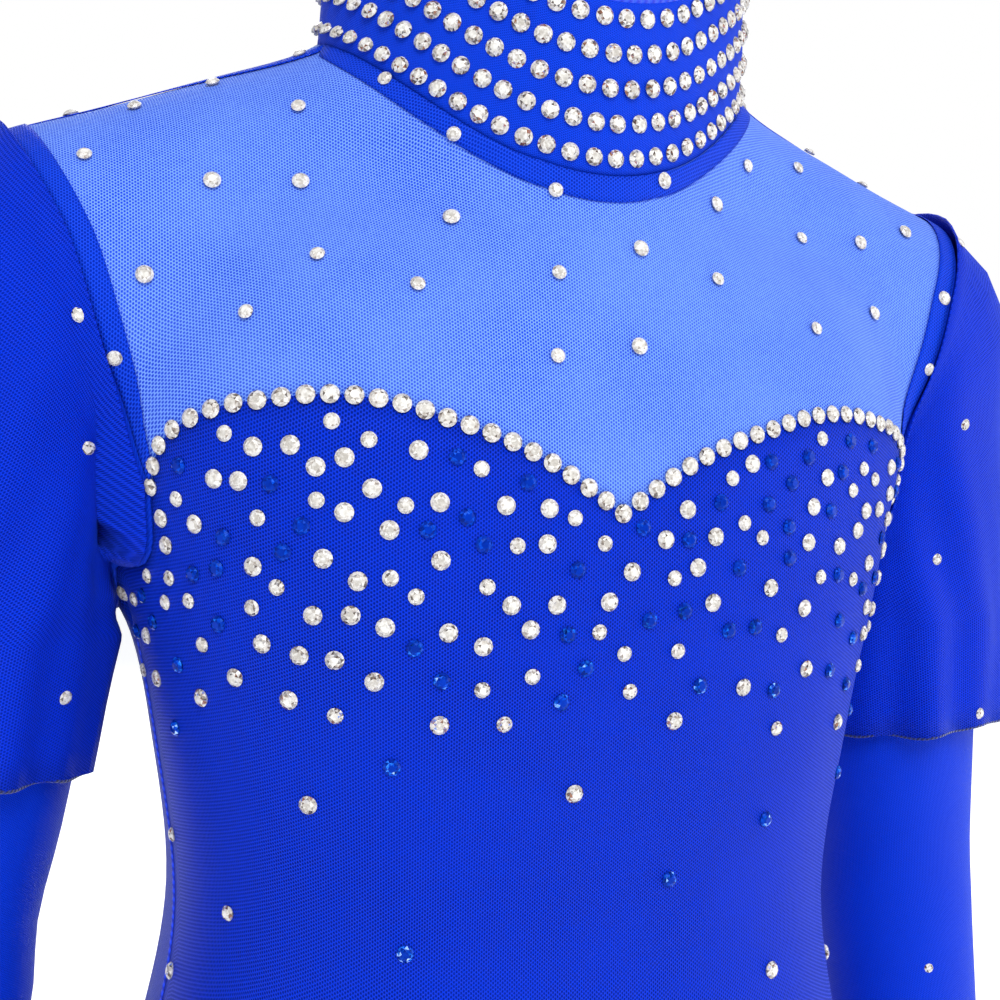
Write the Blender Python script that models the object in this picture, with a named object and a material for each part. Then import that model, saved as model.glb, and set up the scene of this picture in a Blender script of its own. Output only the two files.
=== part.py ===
"""Gymnastics leotard with a stand collar, sheer yoke, long sleeves and short petal over-sleeves.

Metres, +Z up. The garment is built as it sits on a child's body: its front faces -Y and the
wearer's left is +X. The origin is the centre of the neck base, level with the side neck points.
"""

from functools import lru_cache

import bpy
import numpy as np
from mathutils import Matrix

# ---------------------------------------------------------------- driving sizes

# The body the garment is shaped on: height, half width, half depth and middle in Y.
TORSO = np.array([
    [-0.375, 0.116, 0.086, 0.013],
    [-0.320, 0.114, 0.085, 0.013],
    [-0.270, 0.101, 0.078, 0.012],
    [-0.215, 0.092, 0.069, 0.010],
    [-0.165, 0.098, 0.072, 0.009],
    [-0.115, 0.108, 0.077, 0.010],
    [-0.075, 0.115, 0.073, 0.010],
    [-0.040, 0.096, 0.058, 0.008],
    [-0.015, 0.055, 0.036, 0.008],
])
SQUARENESS = 2.70               # 2 is an ellipse, more is boxier
SEAT = ((0.000, 0.010, -0.365), (0.119, 0.089, 0.108))

# Limbs: start, end, start radius, end radius.
NECK = ((0.000, 0.000, -0.030), (0.000, -0.018, 0.070), 0.0475, 0.0450)
SHOULDER = ((0.040, 0.006, -0.012), (0.124, 0.012, -0.045), 0.028, 0.030)
UPPER_ARM = ((0.133, 0.014, -0.058), (0.158, 0.034, -0.225), 0.0310, 0.0240)
FOREARM = ((0.158, 0.034, -0.225), (0.167, 0.016, -0.395), 0.0240, 0.0175)

# Where the layers lie, measured out from the body.
LINING = (0.0003, 0.0012)       # lining and inner tapes
FABRIC = (0.0022, 0.0036)       # shell fabric
TAPE_LAYER = (-0.0002, 0.0006)   # tapes that back a seam
STONES = (0.0040, 0.0052)       # stone rows
PETAL = (0.0048, 0.0058)        # over-sleeves at the seam
SEAM = 0.0002                   # half the gap at a seam
TAPE = (0.0016, 0.0060)         # near and far side of a seam tape, from the seam
TAPE_END = 0.0070               # seam tapes stop this far short of the seam's ends

# Seam corners on the wearer's left. The right side is the mirror image.
SHOULDER_TIP = (0.138, 0.014, -0.020)
NECKLINE_END = (0.116, -0.036, -0.103)
ARMPIT = (0.112, 0.014, -0.118)
BACK_NECKLINE_END = (0.116, 0.056, -0.096)
SWEETHEART_DIP = -0.103         # height of the point of the sweetheart neckline
SWEETHEART_PEAK = (0.072, -0.071)
HIP_CORNER = (0.117, 0.010, -0.318)
CROTCH = (0.020, 0.010, -0.473)

COLLAR_HALF_WIDTH = 0.050
COLLAR_HALF_DEPTH = 0.048
COLLAR_TILT = 0.33              # drop of the seam per metre towards the front
COLLAR_RISE = 0.0200            # and its rise over the shoulders
COLLAR_HEIGHT = 0.0435
COLLAR_LEAN = 0.20              # how far it leans forward per metre of height
COLLAR_TAPER = 0.0035
COLLAR_BASE = -0.0020           # height of the seam's plane over the origin
COLLAR_ROWS = 5
STONE_SIZE = 0.0047

ZIP_TOP = (0.0413, 0.0565)       # Y and Z of the ends of the straight zip line
ZIP_BOTTOM = (0.089, -0.128)
ZIP_FLAT = 0.013                # the back is flat this far either side of the zip
ZIP_BLEND = 0.042               # and back to its own curve here
ZIP_EDGE = 0.006                # fabric edges stop this far from the middle

WRIST_HEM = 0.008

# Segments along each seam. Neighbouring pieces share these, so their edges run parallel.
ALONG_SHOULDER = 4
ALONG_HALF_COLLAR = 6
ALONG_NECKLINE = 20
ALONG_YOKE_ARMHOLE = 6
ALONG_BODY_ARMHOLE = 3
ALONG_SIDE = 10
ALONG_LEG = 11
ALONG_CROTCH = 4

# Sleeve rings, as shares of the way from the shoulder centre to the wrist.
SLEEVE_STATIONS = (0.00, 0.08, 0.16, 0.24, 0.34, 0.44, 0.54, 0.65, 0.76, 0.88, 1.00)
CAP_END = 0.24                  # below this ring the sleeve is round
PETAL_ROWS = 4                  # the over-sleeves end at this ring
PETAL_EASE = 0.0060             # how far their hem stands off the arm
PETAL_FOLD = 0.0012
PETAL_LIFT = 0.0016             # the front petal lies this far over the back one
HEM_RADIUS = 0.0008
SLEEVE_START = 0.0022           # extra room at the armhole seam
ELASTIC_RADIUS = 0.0022
LINING_ROWS = 8                 # panel rows that the front lining covers
FIRST_PUSH = 0.030              # how far off the body a panel starts before it settles

TEETH = (0.0040, 0.1697)        # from and to, along the zip line
TEETH_COUNT = 35
TOOTH_TIP = 0.0005              # how near the middle the teeth come
SPINE = (0.0014, 0.0023)        # inner and outer edge of the strip that carries the teeth
CHAIN = (0.0006, 0.0024)        # teeth and stops lie in this layer, out from the zip line
STOP_GAP = 0.0004
STOP_LENGTH = 0.0022
ZIP_TAPE = (0.0027, 0.0092)     # inner and outer edge of the woven tapes
ZIP_TAPE_REACH = (0.0008, 0.1807)
ZIP_TAPE_LAYER = (0.0006, 0.0013)
SLIDER_REST = 0.1642            # middle of the closed slider, along the zip line
SLIDER_HALF_WIDTH = 0.0036
SLIDER_HALF_LENGTH = 0.0045
UNDER_PLATE = (-0.0006, 0.0002)
OVER_PLATE = (0.0028, 0.0037)
LUGS = (0.0011, 0.0018)         # near and far side of the ears that hold the pin
LUG_TOP = 0.0068
PIN_HEIGHT = 0.0057
PIN_RADIUS = 0.00045
TAB_HALF = 0.0005               # half the pull tab's thickness
TAB_HALF_WIDTH = 0.0026
TAB_END = 0.0200
HOOK_AT = 0.1772
WIRE = 0.0003
TIE = 0.00001                   # diagonals this close to equal count as equal


# ---------------------------------------------------------------- the body surface

def hermite(z, column):
    heights = TORSO[:, 0]
    values = TORSO[:, column]
    slopes = np.gradient(values, heights)
    i = np.clip(np.searchsorted(heights, z) - 1, 0, len(heights) - 2)
    step = heights[i + 1] - heights[i]
    t = np.clip((z - heights[i]) / step, 0, 1)
    start = (2 * t**3 - 3 * t**2 + 1) * values[i] + (t**3 - 2 * t**2 + t) * step * slopes[i]
    end = (3 * t**2 - 2 * t**3) * values[i + 1] + (t**3 - t**2) * step * slopes[i + 1]
    return start + end


def soft_min(a, b, reach):
    h = np.clip(0.5 + 0.5 * (b - a) / reach, 0, 1)
    return b * (1 - h) + a * h - reach * h * (1 - h)


def torso_distance(p):
    half_width, half_depth, middle = (hermite(p[:, 2], column) for column in (1, 2, 3))
    x, y = np.abs(p[:, 0]), np.abs(p[:, 1] - middle)
    scaled = (x / half_width) ** SQUARENESS + (y / half_depth) ** SQUARENESS
    scaled = np.maximum(scaled ** (1 / SQUARENESS), 0.05)
    aside = np.hypot(x, y) * (1 - 1 / scaled)
    above = np.maximum(TORSO[0, 0] - p[:, 2], p[:, 2] - TORSO[-1, 0])
    return np.where(above > 0, np.hypot(np.maximum(aside, 0), above), aside)


def limb_distance(p, limb):
    start, end = np.array(limb[0]), np.array(limb[1])
    axis = end - start
    t = np.clip((p - start) @ axis / (axis @ axis), 0, 1)
    radius = limb[2] + (limb[3] - limb[2]) * t
    return np.linalg.norm(p - start - t[:, None] * axis, axis=1) - radius


def seat_distance(p):
    centre, radii = np.array(SEAT[0]), np.array(SEAT[1])
    near = np.linalg.norm((p - centre) / radii, axis=1)
    slope = np.linalg.norm((p - centre) / radii**2, axis=1)
    return near * (near - 1) / np.maximum(slope, 1e-6)


def trunk_distance(p):
    """Torso and seat, without shoulders, neck and arms."""
    return soft_min(torso_distance(p), seat_distance(p), 0.020)


def arm_distance(p):
    q = np.column_stack([np.abs(p[:, 0]), p[:, 1], p[:, 2]])
    arm = np.minimum(limb_distance(q, UPPER_ARM), limb_distance(q, FOREARM))
    return soft_min(arm, limb_distance(q, SHOULDER), 0.020)


def body_distance(p):
    """Roughly how far outside the body each point is."""
    q = np.column_stack([np.abs(p[:, 0]), p[:, 1], p[:, 2]])
    d = soft_min(trunk_distance(q), limb_distance(q, SHOULDER), 0.030)
    d = soft_min(d, limb_distance(q, NECK), 0.026)
    return soft_min(d, arm_distance(q), 0.022)


def gradient(p, distance):
    h = 0.0005
    steps = np.eye(3) * h
    return np.column_stack([(distance(p + s) - distance(p - s)) / (2 * h) for s in steps])


def onto(p, distance, rounds=12):
    """The points moved onto the surface where the distance is zero."""
    p = np.array(p, float)
    for _ in range(rounds):
        g = gradient(p, distance)
        p = p - g * (distance(p) / np.maximum((g**2).sum(1), 1e-6))[:, None] * 0.9
    return p


def zip_y(z):
    (y0, z0), (y1, z1) = ZIP_TOP, ZIP_BOTTOM
    return y0 + (y1 - y0) * (z - z0) / (z1 - z0)


def zip_share(p):
    """How much each point belongs to the flat strip along the zip."""
    near = np.clip((ZIP_BLEND - np.abs(p[:, 0])) / (ZIP_BLEND - ZIP_FLAT), 0, 1)
    low = np.clip((p[:, 2] - ZIP_BOTTOM[1] + 0.045) / 0.045, 0, 1)
    behind = np.clip((p[:, 1] - 0.025) / 0.015, 0, 1)
    return near**2 * (3 - 2 * near) * low**2 * (3 - 2 * low) * behind


def zip_frame():
    """Where the zip line starts, its direction upwards and its outward normal."""
    start = np.array([0, ZIP_BOTTOM[0], ZIP_BOTTOM[1]])
    line = np.array([0, ZIP_TOP[0], ZIP_TOP[1]]) - start
    along = line / np.linalg.norm(line)
    return start, along, np.array([0, along[2], -along[1]])


def on_body(p):
    p = onto(p, body_distance)
    p[:, 1] += zip_share(p) * (zip_y(p[:, 2]) - p[:, 1])
    return p


def outward(p, distance=body_distance):
    n = gradient(p, distance)
    n /= np.linalg.norm(n, axis=1)[:, None]
    if distance is body_distance:
        n += zip_share(p)[:, None] * (zip_frame()[2] - n)
    return n / np.linalg.norm(n, axis=1)[:, None]


# ---------------------------------------------------------------- curves

def spline(points, count=160):
    """A smooth curve through the points, evenly spaced in the end."""
    p = np.array(points, float)
    p = np.vstack([2 * p[0] - p[1], p, 2 * p[-1] - p[-2]])
    pieces = []
    t = np.linspace(0, 1, 24, endpoint=False)[:, None]
    for a, b, c, d in zip(p, p[1:], p[2:], p[3:]):
        pieces.append(0.5 * (2 * b + (c - a) * t + (2 * a - 5 * b + 4 * c - d) * t**2
                             + (3 * b - a - 3 * c + d) * t**3))
    return resample(np.vstack(pieces + [p[-2:-1]]), count)


def resample(p, count):
    length = np.r_[0, np.cumsum(np.linalg.norm(np.diff(p, axis=0), axis=1))]
    at = np.linspace(0, length[-1], count + 1)
    return np.column_stack([np.interp(at, length, p[:, k]) for k in range(3)])


def laid(points, count):
    """A curve through the points, laid on the body, in count equal segments."""
    return resample(on_body(spline(points)), count)


def mirror(p):
    return p * np.array([-1, 1, 1])


@lru_cache
def shoulder_seam():
    neck = collar_seam()[ALONG_HALF_COLLAR]
    tip = np.array(SHOULDER_TIP)
    middle = (neck + tip) / 2 + np.array([0, 0, 0.010])
    line = laid([neck, middle, tip], ALONG_SHOULDER)
    line[0] = neck
    return line


@lru_cache
def collar_seam():
    """Half of the collar seam, from the centre front round the wearer's left to the zip."""
    front = np.linspace(0, np.pi / 2, ALONG_HALF_COLLAR + 1)
    back = np.linspace(np.pi / 2, np.pi - ZIP_EDGE / COLLAR_HALF_WIDTH, ALONG_HALF_COLLAR + 1)
    turn = np.r_[front, back[1:]]
    x = COLLAR_HALF_WIDTH * np.sin(turn)
    y = -COLLAR_HALF_DEPTH * np.cos(turn)
    ring = np.column_stack([x, y - 0.004, y * 0])
    for _ in range(20):
        ring[:, 2] = COLLAR_BASE + COLLAR_TILT * ring[:, 1] + COLLAR_RISE * np.sin(turn)**2
        aside = gradient(ring, body_distance) * [1, 1, 0]
        steep = np.maximum((aside**2).sum(1), 0.1)
        ring -= aside * (body_distance(ring) / steep)[:, None] * 0.8
    ring[:, 1] += zip_share(ring) * (zip_y(ring[:, 2]) - ring[:, 1])
    ring[0, 0] = 0
    ring[-1, 0] = ZIP_EDGE
    return ring


def armhole_part(a, b, bulge, count):
    a, b = np.array(a), np.array(b)
    return laid([a, (a + b) / 2 + np.array(bulge), b], count)


@lru_cache
def armhole():
    """The armhole loop: tip, front to the neckline, armpit, back neckline and tip again."""
    tip = shoulder_seam()[-1]
    front = armhole_part(tip, NECKLINE_END, (-0.004, -0.016, 0.006), ALONG_YOKE_ARMHOLE)
    under = armhole_part(front[-1], ARMPIT, (-0.004, -0.012, -0.010), ALONG_BODY_ARMHOLE)
    behind = armhole_part(under[-1], BACK_NECKLINE_END, (-0.002, 0.012, -0.010),
                          ALONG_BODY_ARMHOLE)
    back = armhole_part(behind[-1], tip, (0.000, 0.010, 0.006), ALONG_YOKE_ARMHOLE)
    back[-1] = tip
    return front, under, behind, back


@lru_cache
def sweetheart():
    """The neckline from the point in the middle to the wearer's left armhole."""
    end = armhole()[0][-1]
    x_peak, z_peak = SWEETHEART_PEAK
    rise = z_peak - SWEETHEART_DIP
    points = [(0, -0.10, SWEETHEART_DIP),
              (0.36 * x_peak, -0.10, SWEETHEART_DIP + 0.55 * rise),
              (0.68 * x_peak, -0.095, SWEETHEART_DIP + 0.87 * rise),
              (x_peak, -0.085, z_peak),
              (x_peak + 0.020, -0.070, z_peak - 0.003),
              end + np.array([-0.003, -0.008, 0.013]),
              end]
    line = laid(points, ALONG_NECKLINE // 2)
    line[-1] = end
    return line


@lru_cache
def back_neckline():
    """From the bottom of the zip to the wearer's left armhole."""
    end = armhole()[2][-1]
    low = ZIP_BOTTOM[1]
    points = [(ZIP_EDGE, 0.09, low),
              (0.035, 0.09, low + 0.004),
              (0.080, 0.075, low + 0.016),
              end]
    line = laid(points, ALONG_NECKLINE // 2)
    line[-1] = end
    return line


@lru_cache
def side_seam():
    armpit = armhole()[1][-1]
    points = [armpit, (0.102, 0.010, -0.150), (0.097, 0.006, -0.215), (0.107, 0.008, -0.270),
              HIP_CORNER]
    line = resample(onto(spline(points), trunk_distance), ALONG_SIDE)
    line[0] = armpit
    return line


@lru_cache
def leg_line(front):
    """The leg opening from the side seam to the crotch, at the front or the back."""
    hip = side_seam()[-1]
    if front:
        points = [hip, (0.100, -0.050, -0.352), (0.070, -0.060, -0.388), (0.042, -0.050, -0.425),
                  (0.024, -0.020, -0.462), CROTCH]
    else:
        points = [hip, (0.104, 0.065, -0.352), (0.080, 0.080, -0.385), (0.052, 0.070, -0.420),
                  (0.029, 0.045, -0.458), CROTCH]
    line = resample(onto(spline(points), trunk_distance), ALONG_LEG)
    line[0] = hip
    line[-1] = onto([CROTCH], trunk_distance)[0]
    return line


def crotch_edge(leg):
    """The points between the two leg lines' ends, from the wearer's right to the left."""
    return onto(np.linspace(mirror(leg[-1]), leg[-1], ALONG_CROTCH + 1)[1:-1], trunk_distance)


def both_sides(half, middle=None):
    """The right half mirrored, then the left half, from the wearer's right to the left."""
    right = mirror(half[::-1])
    if middle is not None:
        return np.vstack([right, middle, half])
    return np.vstack([right[:-1], half])


# ---------------------------------------------------------------- panels

def panel(top, bottom, left, right, settle, rounds=90):
    """A grid between four edges, evened out on the body. left and right run downwards."""
    u = np.linspace(0, 1, len(top))[None, :, None]
    v = np.linspace(0, 1, len(left))[:, None, None]
    grid = (1 - v) * top[None] + v * bottom[None] + (1 - u) * left[:, None] + u * right[:, None]
    grid -= (1 - u) * (1 - v) * top[0] + u * (1 - v) * top[-1]
    grid -= (1 - u) * v * bottom[0] + u * v * bottom[-1]
    for turn in range(rounds):
        inner = grid[1:-1, 1:-1]
        if turn:
            inner[:] = (grid[:-2, 1:-1] + grid[2:, 1:-1] + grid[1:-1, :-2] + grid[1:-1, 2:]) / 4
        push = 0 if turn else FIRST_PUSH
        inner[:] = settle(inner.reshape(-1, 3), push).reshape(inner.shape)
    return grid


def settle_front(p, push):
    return onto(p - [0, push, 0], body_distance, 4)


def settle_back(p, push):
    p = onto(p + [0, push, 0], body_distance, 4)
    p[:, 1] += zip_share(p) * (zip_y(p[:, 2]) - p[:, 1])
    return p


@lru_cache
def front_grid():
    top = both_sides(np.vstack([sweetheart()[:-1], armhole()[1]]))
    leg = leg_line(True)
    bottom = both_sides(leg[::-1], crotch_edge(leg))
    side = side_seam()
    return panel(top, bottom, mirror(side), side, settle_front)


@lru_cache
def back_grid():
    half = np.vstack([back_neckline()[:-1], armhole()[2][::-1]])
    half[0, 0] = 0
    half[0, 2] -= (half[1, 2] - half[0, 2]) * ZIP_EDGE / (half[1, 0] - ZIP_EDGE)
    half[0, 1] = zip_y(half[0, 2])
    leg = leg_line(False)
    bottom = both_sides(leg[::-1], crotch_edge(leg))
    side = side_seam()
    return panel(both_sides(half), bottom, mirror(side), side, settle_back)


@lru_cache
def yoke_grid():
    half = np.vstack([collar_seam()[:ALONG_HALF_COLLAR], shoulder_seam()])
    edge = armhole()[0]
    return panel(both_sides(half), both_sides(sweetheart()), mirror(edge), edge, settle_front)


@lru_cache
def back_yoke_grid():
    """The wearer's left half of the back yoke, from the zip to the armhole."""
    neck = collar_seam()[ALONG_HALF_COLLAR:][::-1]
    top = np.vstack([neck[:-1], shoulder_seam()])
    edge = armhole()[3][::-1]
    middle = np.linspace(top[0], back_neckline()[0], len(edge))
    middle[:, 1] = zip_y(middle[:, 2])
    return panel(top, back_neckline(), middle, edge, settle_back)


@lru_cache
def collar_grid():
    """Top row first, from the wearer's right of the zip round the front to the left."""
    base = both_sides(collar_seam())
    top = base.copy()
    middle = base[:, 1].mean()
    shrink = 1 - COLLAR_TAPER / COLLAR_HALF_WIDTH
    ahead = base[:, 1] < middle
    top[:, 1] = np.where(ahead, middle + (base[:, 1] - middle) * shrink, base[:, 1])
    top[:, 1] -= COLLAR_LEAN * COLLAR_HEIGHT
    top[:, 0] *= np.where(np.abs(base[:, 0]) < ZIP_BLEND / 2, 1, shrink)
    top[:, 2] += COLLAR_HEIGHT
    top[:, 1] += zip_share(top) * (zip_y(top[:, 2]) - top[:, 1])
    return np.array([top, base])


def arm_frame(t):
    """Centre, radius and the outer and front directions at a share of the way down the arm."""
    shoulder, elbow, wrist = (np.array(UPPER_ARM[0]), np.array(UPPER_ARM[1]),
                              np.array(FOREARM[1]))
    upper, lower = np.linalg.norm(elbow - shoulder), np.linalg.norm(wrist - elbow)
    at = t * (upper + lower)
    if at < upper:
        share = at / upper
        centre = shoulder + (elbow - shoulder) * share
        radius = UPPER_ARM[2] + (UPPER_ARM[3] - UPPER_ARM[2]) * share
    else:
        share = (at - upper) / lower
        centre = elbow + (wrist - elbow) * share
        radius = FOREARM[2] + (FOREARM[3] - FOREARM[2]) * share
    axis = (wrist - shoulder) / np.linalg.norm(wrist - shoulder)
    out = np.array([1, 0, 0]) - axis[0] * axis
    out /= np.linalg.norm(out)
    return centre, radius, out, np.cross(axis, out)


@lru_cache
def sleeve_grid():
    """Rings from the armhole to the wrist. Column 0 is the shoulder tip, then to the front."""
    loop = np.vstack([part[:-1] for part in armhole()])
    turn = np.linspace(0, 2 * np.pi, len(loop), endpoint=False)
    cap = SLEEVE_STATIONS.index(CAP_END)
    rings = [loop]
    for t in SLEEVE_STATIONS[1:]:
        centre, radius, out, front = arm_frame(t)
        ring = (centre + radius * np.cos(turn)[:, None] * out
                + radius * np.sin(turn)[:, None] * front)
        rings.append(ring)
    for k in range(1, cap):
        share = k / cap
        rings[k] = onto((1 - share) * loop + share * rings[cap], arm_distance, 6)
    return np.array(rings)


def normals(grid, distance=body_distance):
    return outward(grid.reshape(-1, 3), distance).reshape(grid.shape)


def sleeve_normals():
    """The body's normals at the armhole, turning into the arm's own by the end of the cap."""
    grid = sleeve_grid()
    n = normals(grid, arm_distance)
    cap = SLEEVE_STATIONS.index(CAP_END)
    for k in range(cap):
        share = k / cap
        n[k] = (1 - share) * outward(grid[k]) + share * n[k]
        n[k] /= np.linalg.norm(n[k], axis=1)[:, None]
    return n


def patch(grid, across, down):
    """Part of a grid, given as fractional column and row numbers."""
    def pick(values, at, axis):
        low = np.clip(np.floor(at).astype(int), 0, values.shape[axis] - 2)
        share = np.array(at) - low
        shape = [1, 1, 1]
        shape[axis] = len(at)
        share = share.reshape(shape)
        return (values.take(low, axis) * (1 - share) + values.take(low + 1, axis) * share)
    return pick(pick(grid, across, 1), down, 0)


def inset(grid, amount, sides="ltrb"):
    """The grid with its edges drawn in along the surface."""
    g = grid.copy()
    for side, edge, inner in (("t", (0,), (1,)), ("b", (-1,), (-2,)),
                              ("l", (slice(None), 0), (slice(None), 1)),
                              ("r", (slice(None), -1), (slice(None), -2))):
        if side in sides:
            way = g[inner] - g[edge]
            g[edge] = g[edge] + amount * way / np.linalg.norm(way, axis=-1)[..., None]
    return g


# ---------------------------------------------------------------- solids

def add(name, points, faces, colour, roughness=0.7, metallic=0.0, origin=None):
    points = np.array(points, float)
    origin = np.zeros(3) if origin is None else np.array(origin)
    mesh = bpy.data.meshes.new(name)
    mesh.from_pydata((points - origin).tolist(), [], [tuple(map(int, f)) for f in faces])
    mesh.validate()
    obj = bpy.data.objects.new(name, mesh)
    obj.location = origin
    material = bpy.data.materials.new(name)
    material.use_nodes = True
    shader = material.node_tree.nodes["Principled BSDF"]
    shader.inputs["Base Color"].default_value = (*colour, 1)
    shader.inputs["Roughness"].default_value = roughness
    shader.inputs["Metallic"].default_value = metallic
    mesh.materials.append(material)
    bpy.context.scene.collection.objects.link(obj)
    return obj


def shell(name, grid, out, layer, colour, ring=False, **looks):
    """A sheet with thickness. A ring's columns close on themselves."""
    rows, columns = grid.shape[:2]
    count = rows * columns
    points = np.vstack([(grid + out * layer[0]).reshape(-1, 3),
                        (grid + out * layer[1]).reshape(-1, 3)])
    wrap = columns if ring else columns - 1
    faces = []

    def at(row, column):
        return row * columns + column % columns

    for row in range(rows - 1):
        for column in range(wrap):
            a, b = at(row, column), at(row, column + 1)
            c, d = at(row + 1, column + 1), at(row + 1, column)
            longer = np.linalg.norm(points[a] - points[c]) - np.linalg.norm(points[b] - points[d])
            for corners in [(a, d, b), (d, c, b)] if longer > TIE else [(a, d, c), (a, c, b)]:
                faces.append(corners)
                faces.append(tuple(count + corner for corner in corners[::-1]))
    edges = [(at(0, c), at(0, c + 1)) for c in range(wrap)]
    edges += [(at(rows - 1, c + 1), at(rows - 1, c)) for c in range(wrap)]
    if not ring:
        edges += [(at(r + 1, 0), at(r, 0)) for r in range(rows - 1)]
        edges += [(at(r, columns - 1), at(r + 1, columns - 1)) for r in range(rows - 1)]
    for a, b in edges:
        faces += [(a, b, count + b), (a, count + b, count + a)]
    return add(name, points, outside(points, faces), colour, **looks)


def outside(points, faces):
    """The faces, turned over if the solid they enclose has a negative volume."""
    p = np.array(points)
    f = np.array([(f[0], f[i], f[i + 1]) for f in faces for i in range(1, len(f) - 1)])
    volume = np.einsum("ij,ij->i", p[f[:, 0]], np.cross(p[f[:, 1]], p[f[:, 2]])).sum()
    return faces if volume > 0 else [face[::-1] for face in faces]


def tube(name, line, radius, colour, sides=4, closed=False, **looks):
    """A round cord along a line."""
    line = np.array(line, float)
    if closed:
        way = np.roll(line, -1, 0) - np.roll(line, 1, 0)
    else:
        way = np.gradient(line, axis=0)
    way /= np.linalg.norm(way, axis=1)[:, None]
    side = np.cross(way[0], [0.30, 0.52, 0.80])
    rings = []
    for p, t in zip(line, way):
        side = side - (side @ t) * t
        side = side / np.linalg.norm(side)
        other = np.cross(t, side)
        turn = np.linspace(0, 2 * np.pi, sides, endpoint=False) + np.pi / sides
        rings.append(p + radius * (np.cos(turn)[:, None] * side + np.sin(turn)[:, None] * other))
    points = np.vstack(rings)
    faces = []
    count = len(line)
    twist = 0
    if closed:
        start, last = rings[0], rings[-1]
        twist = min(range(sides), key=lambda k: np.linalg.norm(np.roll(start, -k, 0) - last))
    for k in range(count if closed else count - 1):
        for j in range(sides):
            nxt = (k + 1) % count
            turn_by = twist if k == count - 1 else 0
            a, b = k * sides + j, k * sides + (j + 1) % sides
            c = nxt * sides + (j + 1 + turn_by) % sides
            d = nxt * sides + (j + turn_by) % sides
            faces += [(a, b, c), (a, c, d)]
    if not closed:
        faces.append(tuple(range(sides))[::-1])
        faces.append(tuple((count - 1) * sides + j for j in range(sides)))
    return add(name, points, outside(points, faces), colour, **looks)


def zip_point(x, along, height):
    start, line, out = zip_frame()
    return start + np.array([x, 0, 0]) + along * line + height * out


def zip_block(name, x, along, height, colour, **looks):
    """A box in the zip's own directions, each given as (from, to)."""
    points = [zip_point(a, b, c) for a in x for b in along for c in height]
    faces = [(0, 1, 3, 2), (4, 6, 7, 5), (0, 4, 5, 1), (2, 3, 7, 6), (0, 2, 6, 4), (1, 5, 7, 3)]
    return add(name, points, outside(points, faces), colour, **looks)


def zip_prism(name, outline, height, colour, **looks):
    """An outline of (x, along) corners, given thickness out from the back."""
    count = len(outline)
    points = [zip_point(x, along, h) for h in height for x, along in outline]
    faces = [tuple(range(count))[::-1], tuple(range(count, 2 * count))]
    faces += [(k, (k + 1) % count, count + (k + 1) % count, count + k) for k in range(count)]
    return add(name, points, outside(points, faces), colour, **looks)


def joined(base, others, origin):
    """One solid from several, which the helpers then leave the scene."""
    for other in others:
        cut = base.modifiers.new(other.name, "BOOLEAN")
        cut.operation, cut.solver, cut.object = "UNION", "EXACT", other
    whole = bpy.data.meshes.new_from_object(base.evaluated_get(
        bpy.context.evaluated_depsgraph_get()))
    base.modifiers.clear()
    material = base.data.materials[0]
    base.data = whole
    whole.materials.clear()
    whole.materials.append(material)
    for other in others:
        bpy.data.objects.remove(other)
    whole.transform(Matrix.Translation([-value for value in origin]))
    base.location = origin
    return base


# ---------------------------------------------------------------- the pieces

BLUE = (0.004, 0.060, 0.640)
SHEER = (0.060, 0.210, 0.850)
DEEP = (0.003, 0.035, 0.420)
NAVY = (0.004, 0.016, 0.110)
CRYSTAL = (0.780, 0.780, 0.760)
STEEL = (0.550, 0.560, 0.580)
SIDES = (("left", 1), ("right", -1))


def on_side(grid, side):
    return grid if side > 0 else mirror(grid)


def body_panels():
    front, back = front_grid(), back_grid()
    shell("front_body_panel", inset(front, SEAM), normals(front), FABRIC, BLUE)
    shell("back_body_panel", inset(back, SEAM), normals(back), FABRIC, BLUE)
    columns = np.arange(front.shape[1])
    lining = patch(inset(front, 3 * SEAM), columns, np.arange(LINING_ROWS + 1))
    shell("front_lining", lining, normals(lining), LINING, SHEER)


def gusset():
    """The crotch lining, across the crotch seam."""
    front, back = front_grid(), back_grid()
    first = ALONG_LEG
    across = np.arange(first, first + ALONG_CROTCH + 1)
    strip = np.vstack([front[LINING_ROWS:, across], back[LINING_ROWS:-1, across][::-1]])
    strip = inset(strip, 0.003)
    shell("crotch_gusset", strip, normals(strip), LINING, CRYSTAL)


def yokes():
    front, back = yoke_grid(), back_yoke_grid()
    shell("front_yoke", inset(front, SEAM), normals(front), FABRIC, SHEER)
    for name, side in SIDES:
        grid = inset(back, SEAM)
        shell("back_yoke_" + name, on_side(grid, side), on_side(normals(back), side), FABRIC,
              SHEER)


def collar():
    grid = collar_grid()
    out = collar_normals(grid)
    last = grid.shape[1] - 1
    down = np.linspace(0, 1, COLLAR_ROWS + 1)
    shell("collar", inset(patch(grid, np.arange(last + 1), down), SEAM, "b"),
          patch(out, np.arange(last + 1), down), FABRIC, BLUE)
    across = np.r_[0.75, np.arange(1, last), last - 0.75]
    shell("collar_lining", patch(grid, across, [0.06, 1]), patch(out, across, [0.06, 1]),
          LINING, DEEP)
    stone = STONE_SIZE / 2 / COLLAR_HEIGHT
    for row in range(COLLAR_ROWS):
        middle = (row + 0.5) / COLLAR_ROWS
        down = [middle - stone, middle + stone]
        shell(f"collar_stone_row_{row + 1}", patch(grid, np.arange(last + 1), down),
              patch(out, np.arange(last + 1), down), STONES, CRYSTAL, roughness=0.1)


def collar_normals(grid):
    """Straight out from the ring at the top, and out from the shoulders at the seam."""
    along = np.gradient(grid, axis=1)
    n = np.cross(along, np.broadcast_to(grid[0] - grid[1], grid.shape))
    n /= np.linalg.norm(n, axis=-1)[..., None]
    n[1] = outward(grid[1])
    return n


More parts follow.
